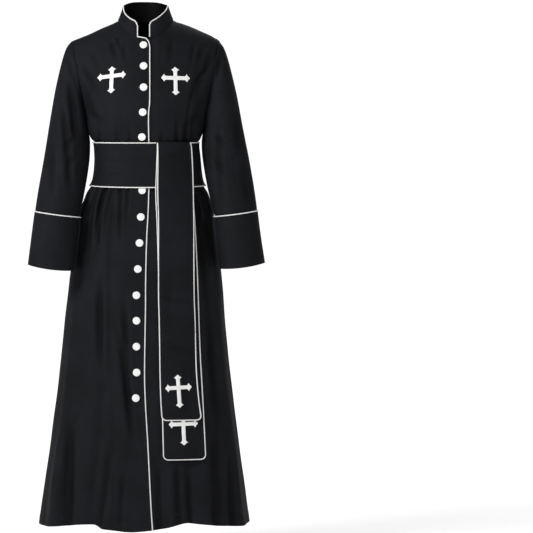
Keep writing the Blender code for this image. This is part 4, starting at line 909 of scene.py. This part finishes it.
def make_skirt():
    hem = HEM_Z + HEM_FINE
    z = np.concatenate((np.linspace(WAIST_Z - SEAM / 2, FLARE_Z, 40),
                        np.linspace(FLARE_Z, hem, 124)[1:], np.linspace(hem, HEM_Z, 30)[1:]))
    z = z[:, None]
    for name, start, end, planes, under in (
            ("skirt_front_right", lambda z: skirt_angle(edge_x(z), z), seam_angle(-90, 1),
             {"right": Y_AXIS}, ("right",)),
            ("skirt_front_left", lambda z: skirt_angle(edge_x(z) - UNDERLAP, z),
             seam_angle(90, -1), {"right": Y_AXIS}, ("right",)),
            ("skirt_back_left", seam_angle(90, 1), seam_angle(180, -1),
             {"left": Y_AXIS, "right": X_AXIS}, ()),
            ("skirt_back_right", seam_angle(180, 1), seam_angle(270, -1),
             {"left": X_AXIS, "right": Y_AXIS}, ("left",))):
        u = steps(96, SKIRT_WIDE, "01" if "left" in planes else "1")
        angle = start(z) + (end(z) - start(z)) * u
        drop = 0.0
        if name == "skirt_front_left":
            drop = under_drop(section(z, "width") * np.sin(np.radians(angle)), z)
        grid = skirt_point(angle, z, -drop)
        above = grid[..., 2] - grid[-1:, :, 2] - HEM_TURNED
        turned = HEM_THICKER * (1 - ease(above, -HEM_EDGE, HEM_EDGE))
        sewn = HEM_SINK * np.exp(-(above / HEM_SEWN) ** 2)
        middle = grid[grid.shape[0] // 2, grid.shape[1] // 2] * (1, 1, 0)
        cloth(name, grid, LINED_IN_PAINTED_SHADE, BODY_CREASES, middle, seams=tuple(planes),
              planes={**planes, "first": Z_AXIS}, allowance=under,
              extra=lambda normal: turned - sewn + bulge(grid, np.abs(normal[..., 0]),
                                                         *SKIRT_BULGE))


# ---------------------------------------------------------------- sleeves and cuffs
def ring_point(ring, turn, sign, proud=0.0):
    """A point of a tilted oval ring; turn is 0 at its outer point and rises over the front."""
    level = ring.out_z
    near = inner = 0.0
    drop = CUFF_SAG * ease(level, *SAG_HEIGHTS) * np.maximum(np.sin(turn), 0.0) ** 2
    if sign < 0:
        near = RIGHT_SLEEVE_SWAY * ease(level, *SWAY_HEIGHTS)
        inner = smooth(RIGHT_SLEEVE_INNER, level, "x")
        drop = drop + RIGHT_SLEEVE_DROP * ease(level, *DROP_HEIGHTS)
    half_x = (ring.out_x - ring.in_x + inner) / 2
    half_z = (ring.out_z - ring.in_z) / 2
    grow = (1 + proud / np.hypot(half_x, half_z)) * np.cos(turn)
    x = (ring.out_x + ring.in_x - inner) / 2 - near + half_x * grow
    z = (ring.out_z + ring.in_z) / 2 + half_z * grow
    forward = ring.forward + (ring.depth + proud) * np.sin(turn)
    return stack(sign * x, -forward, z - drop)


def seam_plane(sign, rise, run):
    """Unit normal of a plane that leans by a rise over a run."""
    return unit(np.array((sign * rise, 0.0, -run)))


ARMHOLE_LEAN = (shoulder_z(SHOULDER_X) - UNDERARM_Z, SHOULDER_X - UNDERARM_X)


def ring_plane(ring, sign):
    return seam_plane(sign, ring.in_z - ring.out_z, ring.in_x - ring.out_x)


def armhole_ring(turn, sign):
    """The sleeve's first ring, a seam's gap outside the armhole."""
    k = turn / (2 * pi) * 2 * ARMHOLE_ROWS
    x, z = armhole_point(np.abs(k - ARMHOLE_ROWS))
    y = np.where(k > ARMHOLE_ROWS, reach(x, z, True), -reach(x, z, False))
    y[np.isclose(np.abs(k - ARMHOLE_ROWS) % ARMHOLE_ROWS, 0.0)] = 0.0
    away = seam_plane(1, *ARMHOLE_LEAN) * SEAM
    return stack(sign * (x + away[0]), y, z + away[2])


def through(rings, t):
    """Rings between rings: a smooth (Catmull-Rom) curve through them at each t."""
    last = len(rings) - 1
    i = np.clip(np.floor(t).astype(int), 0, last - 1)
    f = (t - i)[:, None, None]
    a, b = rings[np.maximum(i - 1, 0)], rings[i]
    c, d = rings[i + 1], rings[np.minimum(i + 2, last)]
    return 0.5 * (2 * b + (c - a) * f + (2 * a - 5 * b + 4 * c - d) * f ** 2
                  + (3 * b - a - 3 * c + d) * f ** 3)


CUFF_START = SLEEVE_RINGS[-1]._replace(out_z=SLEEVE_RINGS[-1].out_z - SEAM,
                                       in_z=SLEEVE_RINGS[-1].in_z - SEAM)
TURNS = np.linspace(0.0, 2 * pi, AROUND, endpoint=False)


def cuff_point(down, turn, sign, proud=CUFF_PROUD):
    """A point of a cuff at a share of its length."""
    ring = CUFF_END._make(start + (end - start) * down
                          for start, end in zip(CUFF_START, CUFF_END))
    return ring_point(ring, turn, sign, proud)


def make_sleeves():
    for side, sign in BOTH:
        rings = np.stack([armhole_ring(TURNS, sign)]
                         + [ring_point(ring, TURNS, sign) for ring in SLEEVE_RINGS])
        grid = through(rings, steps(130, SLEEVE_LONG, "01") * (len(rings) - 1))
        cloth("sleeve_" + side, grid, LINED_IN_PAINTED_SHADE, SLEEVE_CREASES, -sign * X_AXIS, ring=True,
              seams=("first", "last"), planes={"last": ring_plane(SLEEVE_RINGS[-1], sign)},
              allowance=("first",),
              extra=lambda normal: bulge(grid, -sign * normal[..., 0], *SLEEVE_BULGE))
        grid = np.stack([cuff_point(down, TURNS, sign) for down in steps(44, CUFF_LONG, "0")])
        cloth("cuff_" + side, grid, LINED_IN_PAINTED_SHADE, PLAIN, -sign * X_AXIS, ring=True,
              planes={"first": ring_plane(CUFF_START, sign), "last": ring_plane(CUFF_END, sign)})


# ---------------------------------------------------------------- collar
def collar_point(turn, height):
    """A point of the collar at an angle and at a share of its height."""
    base = neck_point(turn) + Z_AXIS * SEAM
    front = np.degrees(np.arccos(np.cos(turn)))
    width = NECK_WIDTH + (COLLAR_TOP_WIDTH - NECK_WIDTH) * ease(front, *COLLAR_LEAN)
    top = stack(width * np.sin(turn), -COLLAR_TOP_DEPTH * np.cos(turn),
                smooth(COLLAR, np.degrees(turn), "z"))
    share = stack(height ** COLLAR_HOLLOW, height ** COLLAR_HOLLOW, height)
    return base * (1 - share) + top * share


def collar_turns(count):
    """Angles of the collar's columns, from the wearer's right end round the back to the left."""
    last = asin(COLLAR_END_LEFT / NECK_WIDTH) - 2 * pi
    ends = 0.5 - 0.5 * np.cos(np.linspace(0.0, pi, count))      # closer together at the ends
    return -NECK_STEP + (last + NECK_STEP) * (np.linspace(0.0, 1.0, count) + ends) / 2


def make_collar():
    grid = collar_point(collar_turns(220), steps(26, COLLAR_TALL, "0")[:, None])
    cloth("collar", grid, LINED_IN_PAINTED_SHADE, PLAIN, Y_AXIS, seams=("first",), allowance=("first",))


# ---------------------------------------------------------------- cincture
def make_band():
    z = BAND_BOTTOM_Z + (BAND_TOP_Z - BAND_BOTTOM_Z) * steps(30)[:, None]
    grid = band_line(z, BAND_CLEAR + CLOTH, BAND_END_X, BAND_END_X + BAND_GAP, 300)
    cloth("cincture_band", grid, (TWILL,), BAND_CREASES, Y_AXIS,
          planes={"first": Z_AXIS, "last": Z_AXIS})


def fall_edges(which, z):
    return smooth(FALLS[which], z, "left"), smooth(FALLS[which], z, "right")


def fall_share(which, u, z):
    """Where across a fall a share u of its cut width lies, between the rounded corners."""
    left, right = fall_edges(which, z)
    up = np.clip(z - FALLS[which][-1].z, 0.0, FALL_ROUND)
    inset = FALL_ROUND - np.sqrt(FALL_ROUND ** 2 - (FALL_ROUND - up) ** 2)
    inset = inset / (right - left)
    return inset + u * (1 - 2 * inset)


def fall_point(which, u, z, out):
    """A point of a fall at a share u of its width, at a distance out from its inner face."""
    left, right = fall_edges(which, z)
    proud = FALL_CLEAR[which] + out - FALL_SETTLE * ease(z, *SETTLE_HEIGHTS)
    return waist_point(band_angle(left + (right - left) * u, z, proud), z, proud)


def fall_grid(which):
    """The fall's outer face; the front one starts behind the band and turns over its top."""
    start, bottom = FALLS[which][0].z, FALLS[which][-1].z
    if which == "front":
        start -= FOLD_OVER_RISE
    u = steps(40)
    curve = bottom + FALL_ROUND * (1 - np.cos(np.linspace(pi / 2, 0.0, 12)[1:]))
    z = np.concatenate((np.linspace(start, bottom + FALL_ROUND, 190), curve))[:, None]
    grid = fall_point(which, fall_share(which, u, z), z + 0 * u, CLOTH)
    if which == "rear":
        return grid
    down = np.linspace(FOLD_OVER_LENGTH, 0.0, 6, endpoint=False)[:, None]
    behind = fall_point(which, u, start - down + 0 * u, CLOTH - FOLD_OVER_BACK)
    turn = np.linspace(pi, 0.0, 14, endpoint=False)[:, None]
    over = fall_point(which, u, start + 0 * (turn + u),
                      CLOTH - FOLD_OVER_BACK * (1 - np.cos(turn)) / 2)
    over = over + Z_AXIS * (FOLD_OVER_RISE * np.sin(turn))[..., None]
    return np.concatenate((behind, over, grid))


def make_falls():
    for which in ("rear", "front"):
        cloth("fall_" + which, fall_grid(which), (TWILL,), FALL_CREASES, -Y_AXIS)


# ---------------------------------------------------------------- what lies on the cloth
def front_form(x, z):
    """The plain form in front: the bodice, and the skirt below the waist."""
    upper = stack(x, -reach(x, z, False), z)
    return np.where((z > WAIST_Z)[..., None], upper, skirt_point(skirt_angle(x, z), z))


def fall_form(which):
    def form(x, z):
        left, right = fall_edges(which, z)
        return fall_point(which, (x - left) / (right - left), z, CLOTH)
    return form


def on_cloth(form, x, z, out, creases):
    """Points at a distance out from creased cloth, and the normals there."""
    x, z = np.broadcast_arrays(np.asarray(x, float), np.asarray(z, float))
    step = 0.0015
    normal = unit(np.cross(form(x + step, z) - form(x - step, z),
                           form(x, z + step) - form(x, z - step)))
    normal = np.where(normal[..., 1:2] > 0, -normal, normal)
    base = form(x, z)
    return base + normal * (relief(base, normal, creases) + out)[..., None], normal


def cord(name, solid, points, closed=False):
    """A run of piping: a round tube along the points."""
    curve = bpy.data.curves.new(name, "CURVE")
    curve.dimensions = "3D"
    curve.bevel_depth = CORD
    curve.bevel_resolution = 2
    curve.use_fill_caps = not closed
    spline = curve.splines.new("POLY")
    spline.points.add(len(points) - 1)
    for slot, point in zip(spline.points, points):
        slot.co = (*point, 1.0)
    spline.use_cyclic_u = closed
    curve.materials.append(COVER)
    belongs(add(name, curve), solid)


def collar_cord(turns, sign):
    """The piping along the collar's top from its side to an end, and down that end."""
    down = np.linspace(*COLLAR_CORD, 12)
    height = np.concatenate((np.ones(len(turns)), down))
    turns = np.concatenate((turns, np.full_like(down, turns[-1])))
    inward = stack(-np.sin(turns), np.cos(turns), 0.0)
    border = collar_point(turns, height) + inward * (CLOTH / 2)
    along = unit(np.gradient(border, axis=0))
    return border + unit(np.cross(along, -inward) * sign) * BESIDE


COLLAR_CORD = (0.93, 0.10)      # shares of its height between which it runs down an end
FRONT_SINK = PIPING * 0.35      # how deep the front's piping lies in the cloth
NECK_CORD = (0.03, 0.86)        # where it runs between the collar's end and the throat
NECK_LIFT = BESIDE * 1.35
THROAT_CORNER = BESIDE * 0.9
SLOPE_STEP = 0.008
CURVED_TO_Z, CORD_STEP = -0.100, 0.006      # the front edge curves down to here
BAND_PIPING_START, BAND_PIPING_STOP = 0.001, 0.116


def pipe_front_edge():
    """From the collar's end along the neckline to the throat, and down the front edge."""
    throat = front_form(edge_x(THROAT_Z), np.asarray(THROAT_Z))
    share = np.linspace(*NECK_CORD, 12)[:, None]
    neckline = neck_point(-NECK_STEP) * (1 - share) + throat * share + Z_AXIS * NECK_LIFT
    above = THROAT_Z + THROAT_CORNER
    corner, _ = on_cloth(front_form, edge_x(above) + THROAT_CORNER, above, 0.0, BODY_CREASES)
    z = np.concatenate((np.linspace(THROAT_Z - 0.0010, CURVED_TO_Z, 16),
                        np.arange(CURVED_TO_Z, HEM_Z, -CORD_STEP)[1:], (HEM_Z,)))
    slope = (edge_x(z + SLOPE_STEP) - edge_x(z - SLOPE_STEP)) / (2 * SLOPE_STEP)
    beside = BESIDE * np.sqrt(1 + slope * slope) + THROAT_BESIDE * ease(z, *THROAT_HEIGHTS)
    edge, _ = on_cloth(front_form, edge_x(z) + beside, z, -FRONT_SINK, BODY_CREASES)
    cord("piping_edge_cord", "piping_front_edge", np.concatenate((neckline, corner[None], edge)))


def pipe_collar():
    turns = collar_turns(240)
    cord("piping_collar_cord_right", "piping_collar_right",
         collar_cord(turns[turns > -pi / 2][::-1], -1))
    cord("piping_collar_cord_left", "piping_collar_left",
         collar_cord(turns[turns < -3 * pi / 2], 1))


def pipe_cuffs():
    for side, sign in BOTH:
        cord("piping_cuff_cord_" + side, "piping_cuff_" + side,
             cuff_point(0.0, TURNS, sign, CUFF_PROUD + BESIDE + SEAM), closed=True)


def pipe_band():
    out = BAND_CLEAR + CLOTH / 2
    for name, z in (("top", BAND_TOP_Z + BESIDE), ("bottom", BAND_BOTTOM_Z - BESIDE)):
        cord("piping_band_cord_" + name, "piping_band_" + name,
             band_line(z, out, BAND_END_X - BAND_PIPING_START, BAND_PIPING_STOP, 220))
    z = np.linspace(BAND_BOTTOM_Z, BAND_TOP_Z, 12)
    cord("piping_band_cord_end", "piping_band_end",
         band_point(band_angle(BAND_END_X + BESIDE, z, out), z, out))


def pipe_falls():
    """Down one edge of each fall, round the corners and its lower end, and up the other."""
    for which in ("front", "rear"):
        low = FALLS[which][-1].z
        top = FALLS[which][0].z - (FOLD_OVER_RISE if which == "front" else 0.0)
        turn = np.linspace(0.0, pi / 2, 14)[1:]
        far = FALL_ROUND + BESIDE
        edge = np.linspace(top, low + FALL_ROUND, 160)
        z = np.concatenate((edge, low + FALL_ROUND - far * np.sin(turn)))
        inward = FALL_ROUND - far * np.concatenate((np.ones_like(edge), np.cos(turn)))
        reached = np.maximum(z, low)
        left, right = fall_edges(which, reached)
        share = inward / (right - left)
        below = (reached - z)[:, None] * Z_AXIS
        runs = [fall_point(which, u, reached, CLOTH / 2) - below for u in (share, 1 - share)]
        u = np.linspace(share[-1], 1 - share[-1], 22)[1:-1]
        under = fall_point(which, u, np.full_like(u, low), CLOTH / 2) - Z_AXIS * BESIDE
        cord("piping_fall_cord_" + which, "piping_fall_" + which,
             np.concatenate((runs[0], under, runs[1][::-1])))


STITCH, STITCH_GAP = 0.0024, 0.0009         # lengths of a stitch and of the gap after it
THREAD_HALF = 0.00036   # half the thickness of the thread
TOPSTITCH = 0.0050      # from the front edge to the row of stitches beside it
TRIM_STITCH = TOPSTITCH * 0.7               # the same for the band and the falls
STITCH_RISES = (0.22, 0.78)     # shares of its length between which a stitch lies proud
STITCH_END = 0.004      # rows stop about this far from the end of their piece
CUFF_ROWS = (("top", 0.036), ("end", 0.94))         # shares of the way down
COLLAR_ROWS = (("top", 0.90), ("foot", 0.12))       # shares of the way up
HEM_ROWS = (("front_right", -5.0, -90.0), ("back_right", 182.0, 270.0),     # angles of
            ("back_left", 90.0, 178.0), ("front_left", 8.0, 90.0))          # both ends
STITCH_FACES = ((0, 2, 1), (0, 3, 2), (0, 1, 3), (1, 2, 5, 4), (2, 3, 6, 5), (3, 1, 4, 6),
                (4, 5, 7), (5, 6, 7), (6, 4, 7))


def stitches(name, solid, points, normals, closed=False):
    """A row of stitches along points on the cloth: each dips into the cloth at its ends."""
    if closed:
        points, normals = (np.concatenate((rows, rows[:1])) for rows in (points, normals))
    run = run_along(points)
    starts = np.arange(0.0, run[-1] - STITCH, STITCH + STITCH_GAP)

    def at(far, values):
        return np.stack([np.interp(far, run, values[:, k]) for k in range(3)], axis=-1)

    a, b = at(starts, points), at(starts + STITCH, points)
    up = unit(at(starts + STITCH / 2, normals)) * THREAD_HALF
    aside = np.cross(unit(b - a), up)
    verts = [a - up]
    for along in STITCH_RISES:
        middle = a + (b - a) * along
        verts += [middle + aside - up, middle + up * 1.8, middle - aside - up]
    verts = np.stack(verts + [b - up], axis=1).reshape(-1, 3)
    faces = [tuple(start + v for v in face) for start in range(0, len(verts), 8)
             for face in STITCH_FACES]
    belongs(make_mesh(name, verts, faces, THREAD), solid)


def radial(points):
    """Directions straight out from the garment's upright axis."""
    return unit(points * (1, 1, 0))


def stitch_front_edge():
    for place, solid, low, high in (
            ("upper", "front_right_bodice", BAND_TOP_Z, THROAT_Z - 0.002),
            ("lower", "skirt_front_right", HEM_Z, BAND_BOTTOM_Z)):
        z = np.arange(low + STITCH_END, high - STITCH_END, 0.004)
        points, normals = on_cloth(front_form, edge_x(z) - TOPSTITCH, z, 0.0, BODY_CREASES)
        stitches("stitches_edge_" + place, solid, points, normals)


def stitch_hem():
    for place, start, end in HEM_ROWS:
        angle = np.linspace(start, end, 90)
        level = skirt_point(angle, np.full_like(angle, HEM_Z))[:, 2] + HEM_TURNED
        points = skirt_point(angle, level - hem_rise(angle, level))
        normals = radial(points)
        sunk = relief(points, normals, BODY_CREASES) - HEM_SINK * 0.5
        stitches("stitches_hem_" + place, "skirt_" + place, points + normals * sunk[:, None],
                 normals)


def stitch_cuffs():
    for side, sign in BOTH:
        for place, down in CUFF_ROWS:
            points = cuff_point(down, TURNS, sign)
            stitches("stitches_cuff_" + place + "_" + side, "cuff_" + side, points,
                     points - points.mean(axis=0), closed=True)


def stitch_band():
    for place, z in (("top", BAND_TOP_Z - TRIM_STITCH), ("bottom", BAND_BOTTOM_Z + TRIM_STITCH)):
        points = band_line(z, BAND_CLEAR + CLOTH, BAND_END_X - 0.003,
                           BAND_END_X + BAND_GAP + 0.002, 260)
        stitches("stitches_band_" + place, "cincture_band", points, radial(points))


def stitch_falls():
    for which in ("front", "rear"):
        low = FALLS[which][-1].z + TRIM_STITCH
        z = np.linspace(FALLS[which][0].z - STITCH_END, low, 180)
        left, right = fall_edges(which, z)
        left, right = left + TRIM_STITCH, right - TRIM_STITCH
        x = np.concatenate((left, np.linspace(left[-1], right[-1], 30), right[::-1]))
        z = np.concatenate((z, np.full(30, low), z[::-1]))
        points, normals = on_cloth(fall_form(which), x, z, 0.0, FALL_CREASES)
        stitches("stitches_fall_" + which, "fall_" + which, points, normals)


def stitch_collar():
    for place, height in COLLAR_ROWS:
        points = collar_point(collar_turns(240), height)
        stitches("stitches_collar_" + place, "collar", points, radial(points))


BUTTON_RADIUS, BUTTON_HEIGHT, BUTTON_LIFT, BUTTON_SIDES = 0.0103, 0.0032, 0.0012, 40
BUTTON_PROFILE = table("radius* height*", (
    (0.88, 0), (0.965, 0.12), (1, 0.32), (0.985, 0.52), (0.93, 0.72), (0.85, 0.86), (0.79, 0.9),
    (0.745, 0.86), (0.7, 0.8), (0.65, 0.84), (0.55, 0.93), (0.38, 1), (0.18, 1.04),
))


def lathe_button(name, place, normal):
    """A domed button with a faint ring, which lies on the cloth and faces along a normal."""
    side = unit(np.cross(normal, Z_AXIS))
    up = np.cross(side, normal)
    turn = np.linspace(0.0, 2 * pi, BUTTON_SIDES, endpoint=False)[:, None]
    verts = np.concatenate([
        place + (np.cos(turn) * side + np.sin(turn) * up) * (BUTTON_RADIUS * row.radius)
        + normal * (BUTTON_LIFT + BUTTON_HEIGHT * row.height) for row in BUTTON_PROFILE])
    faces = quads(len(BUTTON_PROFILE), BUTTON_SIDES, ring=True)[:, [1, 0, 3, 2]].tolist()
    number = list(range(len(verts)))
    faces += [number[:BUTTON_SIDES], number[-BUTTON_SIDES:][::-1]]
    belongs(make_mesh("pearl_" + name, verts, faces, PEARL), "button_" + name)


def make_buttons():
    for number, row in enumerate(FRONT_BUTTONS, 1):
        x = edge_x(row.z) - row.inset
        place, normal = on_cloth(front_form, x, row.z, 0.0, BODY_CREASES)
        lathe_button("front_%02d" % number, place, normal)
    for side, sign in BOTH:
        for number, row in enumerate(CUFF_BUTTONS, 1):
            def at(turn, down):
                return cuff_point(row.down + down, turn - radians(row.angle), sign)

            place = at(0.0, 0.0)
            normal = unit(np.cross(at(0.05, 0.0) - at(-0.05, 0.0),
                                   at(0.0, 0.05) - at(0.0, -0.05)) * sign)
            place = place + normal * relief(place, normal, PLAIN)
            lathe_button("cuff_%s_%d" % (side, number), place, normal)


CROSS_TIP = table("left half", (
    (12.5, 5), (9.5, 6.6), (7, 10.5), (4.8, 6.2), (0, 1.2),
))
CROSS_BAR, CROSS_THICK, CROSS_LIFT, CROSS_ACROSS = 0.0051, 0.0012, 0.0006, 9
CROSS_MITRE = (0.02, 0.35, 0.7, 1.0)        # stations where an arm meets its neighbours
CROSS_RIM = 0.45        # height of an arm's edge as a share of its middle's
CROSS_FLAT = 0.003      # an arm narrower than this lies lower


def cross_arm(length):
    """Stations of one arm from the crossing to the tip: distance out, and half width."""
    neck, end = length - CROSS_TIP[0].left, CROSS_TIP[0].half
    arm = [(CROSS_BAR * t, CROSS_BAR * t) for t in CROSS_MITRE]
    arm += [(CROSS_BAR + (neck - CROSS_BAR) * t, CROSS_BAR + (end - CROSS_BAR) * ease(t, 0.0, 1.0))
            for t in (0.25, 0.5, 0.75)]
    arm += [(length - low.left - (high.left - low.left) * t,
             low.half + (high.half - low.half) * t)
            for low, high in zip(CROSS_TIP, CROSS_TIP[1:]) for t in (0.0, 0.5)]
    return np.array(arm + [(length, CROSS_TIP[-1].half)])


def stitched_cross(row, form, creases):
    """A raised satin-stitch cross with mitred, domed arms and barbed ends."""
    q = np.linspace(-1.0, 1.0, CROSS_ACROSS)
    verts, faces = [], []
    for dx, dz, length in ((0, 1, row.up), (1, 0, row.span), (0, -1, row.down),
                           (-1, 0, row.span)):
        far, half = cross_arm(length).T[:, :, None]
        x, z = dx * far + dz * half * q, dz * far - dx * half * q
        x, z = row.x + x + row.lean * z, row.z + z + row.rise * x
        dome = CROSS_RIM + (1 - CROSS_RIM) * np.sqrt(np.maximum(1 - q * q, 0.0))
        dome = CROSS_THICK * dome * np.minimum(half / CROSS_FLAT, 1.0) ** 0.3
        base, normal = on_cloth(form, x, z, CROSS_LIFT, creases)
        start, size = len(verts), x.size
        verts.extend((base + normal * dome[..., None]).reshape(-1, 3))
        verts.extend(base.reshape(-1, 3))
        top = quads(*x.shape)
        number = np.arange(size).reshape(x.shape)
        rim = np.concatenate((number[len(CROSS_MITRE) - 1:, 0], number[-1, 1:],
                              number[len(CROSS_MITRE) - 1:-1, -1][::-1]))
        walls = np.stack((rim[:-1], rim[1:], rim[1:] + size, rim[:-1] + size), -1)
        faces.append(np.concatenate((top, top[:, [0, 3, 2, 1]] + size, walls)) + start)
    item = make_mesh("stitched_" + row.name, verts, np.concatenate(faces).tolist(), EMBROIDERY)
    bm = bmesh.new()
    bm.from_mesh(item.data)
    bmesh.ops.remove_doubles(bm, verts=bm.verts, dist=0.00025)
    bmesh.ops.recalc_face_normals(bm, faces=bm.faces)
    bm.to_mesh(item.data)
    bm.free()
    belongs(item, row.name)


def make_crosses():
    for row in CROSSES:
        if "chest" in row.name:
            stitched_cross(row, front_form, BODY_CREASES)
        else:
            stitched_cross(row, fall_form(row.name.removeprefix("cross_fall_")), FALL_CREASES)


# ---------------------------------------------------------------- floor, light and camera
PHOTO_WIDTH = 533
METRES_PER_PIXEL = 0.00272
AXIS_PIXEL = 145.5          # column of the picture on which the garment's middle lies
SHOULDER_PIXEL = 24.0       # row of the picture at the height of the origin
CAMERA_AWAY, CAMERA_Z = 8.0, -0.45
SENSOR = 36.0
FLOOR_Z, FLOOR_HALF = HEM_Z - 0.09, 14.0
WHITE = (1.0, 1.0, 1.0, 1.0)


def place_at(name, data, place, target):
    """A lamp or camera that looks at a target."""
    item = add(name, data)
    item.location = place
    item.rotation_euler = (Vector(target) - item.location).to_track_quat("-Z", "Y").to_euler()
    return item


def light_studio():
    for name, place, target_z, size, power in (("key", (-2.3, -2.4, 1.6), -0.20, 1.1, 122.0),
                                               ("fill", (3.6, -4.4, 1.7), -0.5, 2.6, 25.0),
                                               ("top_back", (1.2, 3.6, 3.0), -0.5, 2.4, 90.0)):
        lamp = bpy.data.lights.new(name, "AREA")
        lamp.shape = "SQUARE"
        lamp.size = size
        lamp.energy = power
        place_at(name, lamp, place, (0.0, 0.0, target_z))


def make_backdrop():
    """A world that lights softly and looks white."""
    world = bpy.data.worlds.new("studio")
    bpy.context.scene.world = world
    tree = new_shader(world)
    lit = tree.nodes["Background"]
    lit.inputs["Color"].default_value = WHITE
    lit.inputs["Strength"].default_value = 0.24
    seen = new_node(tree, "Background", Color=WHITE, Strength=1.05)
    path, mix = new_node(tree, "LightPath"), new_node(tree, "MixShader")
    link(path.outputs["Is Camera Ray"], mix.inputs[0])
    link(lit.outputs[0], mix.inputs[1])
    link(seen.outputs[0], mix.inputs[2])
    link(mix.outputs[0], tree.nodes["World Output"].inputs["Surface"])


def make_floor():
    """Pale paper that takes shadows and glows to white further away."""
    mesh = bpy.data.meshes.new("studio_floor")
    corners = ((-1, -1), (1, -1), (1, 1), (-1, 1))
    mesh.from_pydata([(x * FLOOR_HALF, y * FLOOR_HALF, FLOOR_Z) for x, y in corners], [],
                     [(0, 1, 2, 3)])
    paper = bpy.data.materials.new("pale_paper")
    tree = new_shader(paper)
    shader = tree.nodes["Principled BSDF"]
    cloud = new_node(tree, "TexNoise", Scale=3.0, Detail=2.0).outputs["Fac"]
    link(tint(cloud, (0.64, 0.64, 0.64), (0.68, 0.68, 0.68)), shader.inputs["Base Color"])
    for socket, value in (("Roughness", 0.9), ("Specular IOR Level", 0.0),
                          ("Emission Color", WHITE)):
        shader.inputs[socket].default_value = value
    away = new_node(tree, "VectorMath", operation="LENGTH")
    link(new_node(tree, "TexCoord").outputs["Object"], away.inputs[0])
    glow = spread(away.outputs["Value"], 0.60, 0.94, From_Min=2.0, From_Max=7.0)
    link(glow, shader.inputs["Emission Strength"])
    mesh.materials.append(paper)
    add("studio_floor", mesh)


def place_camera():
    lens = bpy.data.cameras.new("photo_camera")
    lens.sensor_width = SENSOR
    lens.lens = SENSOR * CAMERA_AWAY / (PHOTO_WIDTH * METRES_PER_PIXEL)
    lens.shift_x = (PHOTO_WIDTH / 2 - AXIS_PIXEL) / PHOTO_WIDTH
    lens.clip_end = 100.0
    middle_z = (SHOULDER_PIXEL - PHOTO_WIDTH / 2) * METRES_PER_PIXEL
    bpy.context.scene.camera = place_at("photo_camera", lens, (0.0, -CAMERA_AWAY, CAMERA_Z),
                                        (0.0, 0.0, middle_z))
    bpy.context.scene.view_settings.view_transform = "Standard"


for make in (make_bodice, make_skirt, make_sleeves, make_collar, make_band, make_falls,
             pipe_front_edge, pipe_collar, pipe_cuffs, pipe_band, pipe_falls, make_buttons,
             make_crosses, stitch_front_edge, stitch_hem, stitch_cuffs, stitch_band,
             stitch_falls, stitch_collar, light_studio, make_backdrop, make_floor,
             place_camera):
    make()
